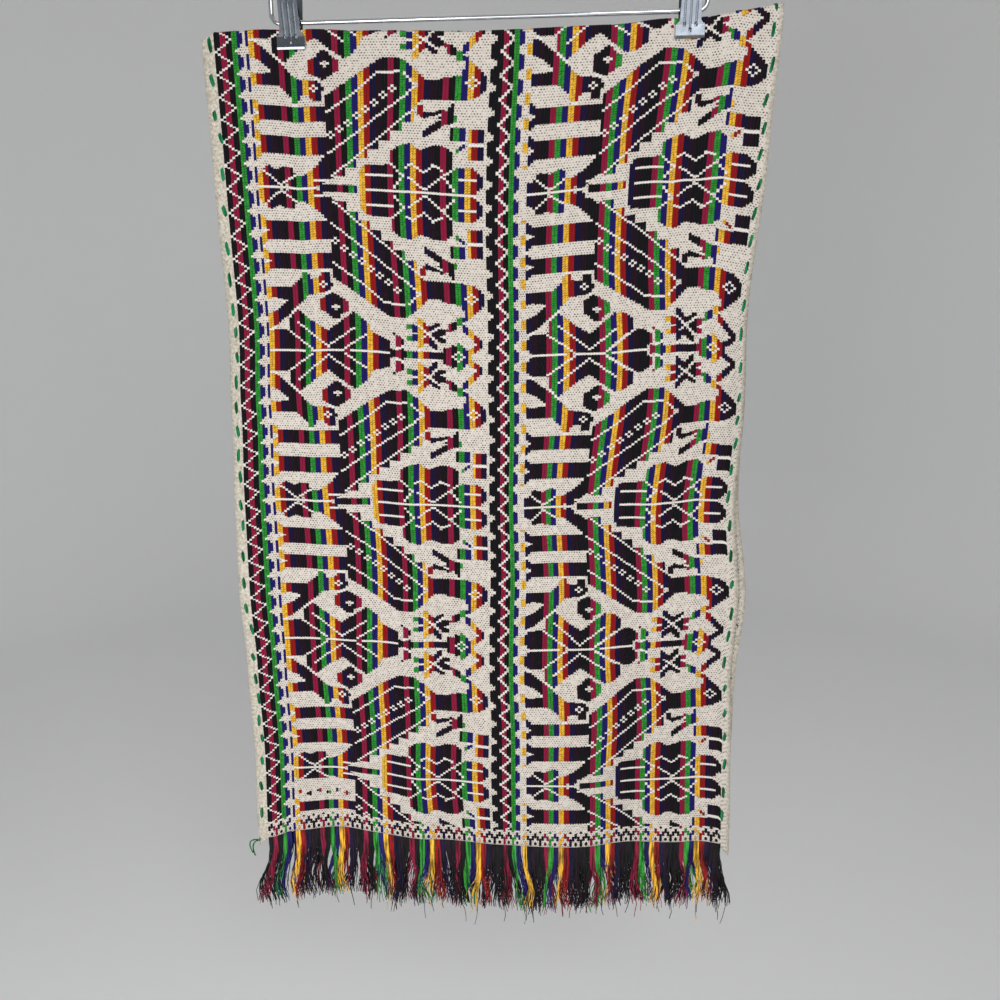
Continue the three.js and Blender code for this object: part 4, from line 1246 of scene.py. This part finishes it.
class RUNNER_OT_hem_stitches(bpy.types.Operator):
    """Sews the green running stitches down the hems, and leaves the thread's loose tail"""
    bl_idname = "runner.hem_stitches"
    bl_label = "Sew Hem Stitches"

    HEMS = ((1.9, 12, 24, 0.2), (186.8, 12, 24, -0.3))    # column, length, spacing and lean
    UNEVEN = 4.5                    # how much the spacing varies
    THREAD, SIDES = 0.66, 5         # radius of one strand, and its flat sides
    STRANDS = (-0.75, 0, 0.75)      # the strands of a stitch, from its left to its right
    LIFT, SUNK = 0.75, 0.3          # height of a stitch over the hem, and depth of its ends

    def stitch(self, column, row, length, lean, sign, rng):
        """The strands of one stitch, side by side and bowed over the hem."""
        rows = row + np.linspace(-0.5, 0.5, 7) * length / ROW
        bow = 1 - np.linspace(-1, 1, 7) ** 4
        slant = rng.normal(0, 0.3) + np.linspace(-1, 1, 7) * (lean + rng.uniform(-0.2, 0.2))
        for shift in self.STRANDS:
            columns = column + slant + shift * (0.22 + 0.14 * bow)
            on_cloth = cloth_point(columns, sign * rows)
            yield on_cloth + cloth_normal(columns, sign * rows) * (self.LIFT * bow - self.SUNK)[:, None]

    def tail(self):
        """Two loose strands that curl out from the lower corner."""
        start = cloth_point(0.6, FOOT_ROW - 3)
        for reach, drop, curl in ((7, 15, 2.5), (10, 12, 4)):
            t = np.linspace(0, 1, 12)
            x = start[0] - reach * np.sin(t * math.pi * 0.75)
            z = start[2] - drop * t ** 1.3 + curl * np.sin(t * math.pi)
            yield np.stack([x, start[1] - 2.2 - 3 * t, z], -1)

    def execute(self, context):
        rng = np.random.default_rng(context.scene.runner_sizes.seed + 2)
        lines = []
        for sign in (1, -1):
            for column, length, pitch, lean in self.HEMS:
                row = 0.4 * pitch / ROW
                while row < FOOT_ROW - 4:
                    own = length * rng.uniform(0.75, 1.1)
                    lines += self.stitch(column, row, own, lean, sign, rng)
                    row += (pitch + rng.uniform(-1, 1) * self.UNEVEN) / ROW
        lines += self.tail()
        # The thread gets the loose yarn's painted highlights and painted shade.
        thread = cotton_loose("cotton_hem_thread", linear(HEM_STITCH_HEX))
        piece = grown("hem_stitches", lines_mesh("hem_stitches", lines), strand_tree(),
                      Radius=self.THREAD * MM, Sides=self.SIDES, Finish=thread)
        seated(piece, "cloth")
        return {"FINISHED"}


class RUNNER_OT_hanger_wire(bpy.types.Operator):
    """Bends the hanger's frame and hook from round wire, and joins them in their collar"""
    bl_idname = "runner.hanger_wire"
    bl_label = "Bend Hanger Wire"

    SIDES = 20
    TURNS = 40
    ROUNDED = ((1.2, 1), (0.6, 0.86), (0.2, 0.6), (0, 0.3))   # from the hook's tip, and girth

    def wire(self, name, line, girths, tree, finish):
        piece = grown(name, lines_mesh(name, [line], [girths]), tree, Radius=WIRE / 2 * MM,
                      Sides=self.SIDES, Finish=finish)
        seated(piece, "hanger_wire", name[:-5])

    def hook_line(self):
        centre = -HOOK_RADIUS + WIRE / 2
        stem = centre - 2 * HOOK_RADIUS * math.sin(HOOK_SWAY)
        tip = math.pi * 10 / 9
        bow = arc(HOOK_RADIUS, stem, HOOK_RADIUS, math.pi, math.pi - HOOK_SWAY)
        crook = arc(0, centre, HOOK_RADIUS, -HOOK_SWAY, tip)
        way = np.array([-math.sin(tip), 0, math.cos(tip)])
        end = crook[-1] - way * [[back] for back, _ in self.ROUNDED]
        line = np.concatenate([[(0, 0, COLLAR_HIGH.z + GAP)], bow, crook[1:-1], end])
        girths = np.ones(len(line))
        girths[-len(self.ROUNDED):] = [girth for _, girth in self.ROUNDED]
        return line, girths

    def collar(self, finish):
        radius, edge = COLLAR_HIGH.x, 1.2
        bends = np.linspace(0, math.pi / 2, 6)
        low = [(radius - edge + edge * math.sin(a), COLLAR_LOW.z + edge - edge * math.cos(a))
               for a in bends]
        high = [(r, COLLAR_LOW.z + COLLAR_HIGH.z - z) for r, z in reversed(low)]
        profile = [(0.01, COLLAR_LOW.z)] + low + high + [(0.01, COLLAR_HIGH.z)]
        turns = np.linspace(0, 2 * math.pi, self.TURNS + 1)
        points = [(r * math.cos(a), r * math.sin(a), z) for a in turns for r, z in profile]
        quads = grid_quads(len(turns), len(profile))
        piece = link("hanger_collar_shell", mesh_of("hanger_collar_shell", points, quads))
        piece.data.materials.append(finish)
        piece.modifiers.new("seam", "WELD").merge_threshold = 0.02 * MM
        seated(finished(piece), "hanger_wire", "hanger_collar")

    def execute(self, context):
        finish = plated_steel("chrome_plated_wire", linear(CHROME_HEX), 0.1, 0.05)
        tree = strand_tree()
        end = COLLAR_LOW.z - GAP
        left = [(-NECK_HALF, end, 0), (-NECK_HALF, NECK_Z, NECK_BEND),
                (-BAR_HALF, UPRIGHT_TOP, SHOULDER_BEND), (-BAR_HALF, BAR_Z, BAR_BEND)]
        corners = left + [(-x, z, bend) for x, z, bend in reversed(left)]
        frame_line = bent_line(corners)
        self.wire("hanger_frame_wire", frame_line, np.ones(len(frame_line)), tree, finish)
        self.wire("hanger_hook_wire", *self.hook_line(), tree, finish)
        self.collar(finish)
        return {"FINISHED"}


class RUNNER_OT_clips(bpy.types.Operator):
    """Presses the two clips' plates from sheet steel and winds their springs"""
    bl_idname = "runner.clips"
    bl_label = "Make Clips"

    ACROSS, DOWN = 61, 120
    TURNS = 48
    RIB_HALF, RIB_RISE = 0.75, 0.2
    KNOB = (1.0, 1.5, 0.75)             # half width, half height and rise
    LIP_TALL, LIP_RISE, LIP_ROWS = 2, 0.75, 13
    SPRING_POINTS = 18                  # in each turn

    def half_width(self, z):
        chamfered = np.interp(z, (JAW_BEND, CHAMFER_TOP), (JAW_HALF, NECK_LOW))
        neck = np.interp(z, (CHAMFER_TOP, NECK_HEIGHT), (NECK_LOW, NECK_TOP))
        left = np.clip(z - (NECK_HEIGHT - NECK_ROUND), 0, NECK_ROUND)
        rounded = NECK_ROUND - np.sqrt(NECK_ROUND ** 2 - left ** 2)
        return np.where(z < CHAMFER_TOP, chamfered, neck - rounded)

    def rise(self, x, z):
        """How far the pressed ribs, their knobs and the rolled lip stand out."""
        out = np.zeros(x.shape)
        wide, tall, high = self.KNOB
        for middle, foot in ((-RIB_PITCH, RIB_FOOT), (0, RIB_MIDDLE_FOOT), (RIB_PITCH, RIB_FOOT)):
            ridge = np.sqrt(np.clip(1 - ((x - middle) / self.RIB_HALF) ** 2, 0, 1))
            along = ease((z - foot) / 2) * ease((RIB_TOP + 8 - z) / 6)
            ball = np.sqrt(np.clip(1 - ((x - middle) / wide) ** 2 - ((z - foot) / tall) ** 2, 0, 1))
            out = np.maximum(out, np.maximum(self.RIB_RISE * ridge * along, high * ball))
        over_foot = z - JAW_FOOT
        lip = np.clip(over_foot / 1.8, 0, 1) * np.clip((self.LIP_TALL + 0.1 - over_foot) / 0.3, 0, 1)
        return np.maximum(out, self.LIP_RISE * lip)

    def plate(self):
        """A front plate: its outer face, its inner face and the rim between them."""
        lip_top = JAW_FOOT + self.LIP_TALL
        lip = np.linspace(JAW_FOOT, lip_top, self.LIP_ROWS)
        above = np.linspace(lip_top + 0.2, NECK_HEIGHT - 0.01, self.DOWN - self.LIP_ROWS)
        rows = np.concatenate([lip, above])
        u, z = np.meshgrid(np.linspace(-1, 1, self.ACROSS), rows, indexing="ij")
        x = u * self.half_width(z)
        outer = plate_y(z) - CLIP_THICK - self.rise(x, z)
        faces = [np.stack([x, y, z], -1).reshape(-1, 3) for y in (outer, plate_y(z))]
        count = len(faces[0])
        front = grid_quads(*x.shape)
        index = np.arange(count).reshape(x.shape)
        rim = np.concatenate([index[0, :], index[1:, -1], index[-1, -2::-1], index[-2:0:-1, 0]])
        after = np.roll(rim, -1)
        wall = np.stack([rim, rim + count, after + count, after], -1)
        return np.concatenate(faces), np.concatenate([front[:, ::-1], front + count, wall[:, ::-1]])

    def ear(self, x0, x1):
        """A ring of steel round the bar, drawn out to its plate, between x0 and x1."""
        angles = np.linspace(0, 2 * math.pi, self.TURNS, endpoint=False)
        points = []
        for angle in angles:
            y, z = -math.cos(angle), math.sin(angle)
            reach = ear_reach(angle)
            for x, r in ((x0, EAR_HOLE), (x0, reach), (x1, reach), (x1, EAR_HOLE)):
                points.append((x, y * r, z * r))
        k = np.arange(self.TURNS)[:, None] * 4
        after = (k + 4) % (4 * self.TURNS)
        side = np.arange(4)[None, :]
        quads = np.stack([k + side, k + (side + 1) % 4, after + (side + 1) % 4, after + side], -1)
        return np.array(points), quads.reshape(-1, 4)

    def plate_piece(self, name, clip_x, ear_at, finish, turned):
        ears = [self.ear(ear_at - EAR_THICK, ear_at), self.ear(-ear_at, EAR_THICK - ear_at)]
        points, quads = joined_quads([self.plate()] + ears)
        if turned:
            points = points * [-1, -1, 1]
        mesh = mesh_of(name, points + [clip_x, 0, BAR_Z], quads)
        piece = link(name, mesh)
        build = bmesh.new()
        build.from_mesh(mesh)
        bmesh.ops.recalc_face_normals(build, faces=build.faces)
        build.to_mesh(mesh)
        build.free()
        mesh.materials.append(finish)
        soft = piece.modifiers.new("soft_edges", "BEVEL")
        soft.width = 0.12 * MM
        soft.segments = 2
        soft.limit_method = "ANGLE"
        soft.angle_limit = math.radians(55)
        piece = finished(piece)
        piece.data.set_sharp_from_angle(angle=math.radians(35))
        seated(piece, "clip_plate", name[:-6])

    def spring_piece(self, name, clip_x, finish):
        turns = SPRING_TURNS - 0.5
        t = np.linspace(0, 1, int(turns * self.SPRING_POINTS))
        half = (SPRING_HIGH.x - SPRING_LOW.x) / 2 - SPRING_WIRE
        angle = math.pi * (1 + 2 * turns * t)
        coil = np.stack([lerp(-half, half, t), SPRING_RADIUS * np.cos(angle),
                         SPRING_RADIUS * np.sin(angle)], -1)
        far = -plate_y(SPRING_LEG_Z) - SPRING_WIRE - GAP
        line = np.concatenate([
            [(-half, -far, SPRING_LEG_Z)], coil, [(half, far, SPRING_LEG_Z)]])
        piece = grown(name, lines_mesh(name, [line + [clip_x, 0, BAR_Z]]), strand_tree(),
                      Radius=SPRING_WIRE * MM, Sides=10, Finish=finish)
        seated(piece, "clip_spring", name[:-5])

    def execute(self, context):
        nickel = plated_steel("nickel_plated_sheet", linear(NICKEL_HEX), 0.3, 0.04)
        dark = plated_steel("spring_wire", linear(SPRING_HEX), 0.35, 0.1)
        for clip, clip_x in zip(CLIPS, CLIP_X):
            self.plate_piece(clip + "_front_plate", clip_x, EAR_FRONT, nickel, False)
            self.plate_piece(clip + "_back_plate", clip_x, EAR_BACK, nickel, True)
            self.spring_piece(clip + "_spring_coil", clip_x, dark)
        return {"FINISHED"}


class RUNNER_OT_declare_sheet(bpy.types.Operator):
    """Holds the cloth's cut size and the starts of the names of the pieces on it; running it does
    nothing
    """
    bl_idname = "runner.declare_sheet"
    bl_label = "Declare Sheet"

    WIDTH, LENGTH = 0.46, 1.455
    ON_CLOTH = ("yarn_", "fringe_", "hem_")

    def execute(self, context):
        return {"FINISHED"}


class RUNNER_OT_studio(bpy.types.Operator):
    """Sets a pale round backdrop and soft lights"""
    bl_idname = "runner.studio"
    bl_label = "Set Studio"

    FLOOR = -1.3
    REACH, COVE, TALL = 2.6, 0.7, 1.8
    POLE = 0.001                    # radius at the middle of the floor
    TURNS, BENDS = 64, 10
    AIM = (0, 0, -0.5)

    def backdrop(self):
        """A round floor with a curved foot and a wall, in metres."""
        profile = [(self.POLE, self.FLOOR), (self.REACH - self.COVE, self.FLOOR)]
        for k in range(1, self.BENDS + 1):
            angle = math.pi / 2 * k / self.BENDS
            profile.append((self.REACH - self.COVE * (1 - math.sin(angle)),
                            self.FLOOR + self.COVE * (1 - math.cos(angle))))
        profile.append((self.REACH, self.TALL))
        turns = np.linspace(0, 2 * math.pi, self.TURNS + 1)
        points = [(r * math.cos(a) / MM, r * math.sin(a) / MM, z / MM)
                  for a in turns for r, z in profile]
        quads = grid_quads(len(turns), len(profile))
        piece = link("backdrop", mesh_of("backdrop", points, quads))
        piece.data.materials.append(studio_paper())

    def softbox(self, name, place, size, power):
        data = bpy.data.lights.new(name, "AREA")
        data.shape = "RECTANGLE"
        data.size, data.size_y = size
        data.energy = power
        lamp = link(name, data)
        toward = Vector(self.AIM) - Vector(place)
        turn = toward.to_track_quat("-Z", "Y").to_matrix().to_4x4()
        lamp.matrix_world = Matrix.Translation(place) @ turn

    def execute(self, context):
        settings = context.scene.studio_settings
        self.backdrop()
        self.softbox("key_light", (0.4, -1.1, 0.0), (0.5, 0.7), settings.key)
        self.softbox("fill_light", (-0.5, -1.15, -0.8), (0.7, 0.5), settings.fill)
        self.softbox("front_light", (-0.05, -0.9, -0.5), (0.4, 0.4), settings.front)
        self.softbox("top_light", (0, 0.2, 1.2), (1.2, 1.2), settings.top)
        world = bpy.data.worlds.new("room")
        world.use_nodes = True
        back = world.node_tree.nodes["Background"]
        back.inputs["Color"].default_value = (1, 0.98, 0.95, 1)
        back.inputs["Strength"].default_value = settings.world
        context.scene.world = world
        context.scene.view_settings.view_transform = "Standard"
        return {"FINISHED"}


class RUNNER_PT_panel(bpy.types.Panel):
    """Lists the steps that build the runner"""
    bl_label = "Woven Runner"
    bl_idname = "RUNNER_PT_panel"
    bl_space_type = "VIEW_3D"
    bl_region_type = "UI"
    bl_category = "Runner"

    def draw(self, context):
        for group in ("runner_sizes", "runner_colours", "studio_settings"):
            settings = getattr(context.scene, group)
            for name in settings.__annotations__:
                self.layout.prop(settings, name)
        for operator in OPERATORS:
            self.layout.operator(operator.bl_idname)


OPERATORS = (
    RUNNER_OT_camera,
    RUNNER_OT_ground_cloth,
    RUNNER_OT_raised_yarns,
    RUNNER_OT_fringe,
    RUNNER_OT_hem_stitches,
    RUNNER_OT_hanger_wire,
    RUNNER_OT_clips,
    RUNNER_OT_declare_sheet,
    RUNNER_OT_studio,
)
CLASSES = (RunnerSizes, RunnerColours, StudioSettings) + OPERATORS + (RUNNER_PT_panel,)


def register():
    for cls in CLASSES:
        bpy.utils.register_class(cls)
    bpy.types.Scene.runner_sizes = PointerProperty(type=RunnerSizes)
    bpy.types.Scene.runner_colours = PointerProperty(type=RunnerColours)
    bpy.types.Scene.studio_settings = PointerProperty(type=StudioSettings)


def unregister():
    del bpy.types.Scene.studio_settings
    del bpy.types.Scene.runner_colours
    del bpy.types.Scene.runner_sizes
    for cls in reversed(CLASSES):
        bpy.utils.unregister_class(cls)


def main():
    register()
    bpy.ops.runner.camera()
    bpy.ops.runner.ground_cloth()
    bpy.ops.runner.raised_yarns()
    bpy.ops.runner.fringe()
    bpy.ops.runner.hem_stitches()
    bpy.ops.runner.hanger_wire()
    bpy.ops.runner.clips()
    bpy.ops.runner.declare_sheet()
    bpy.ops.runner.studio()


if __name__ == "__main__":
    main()
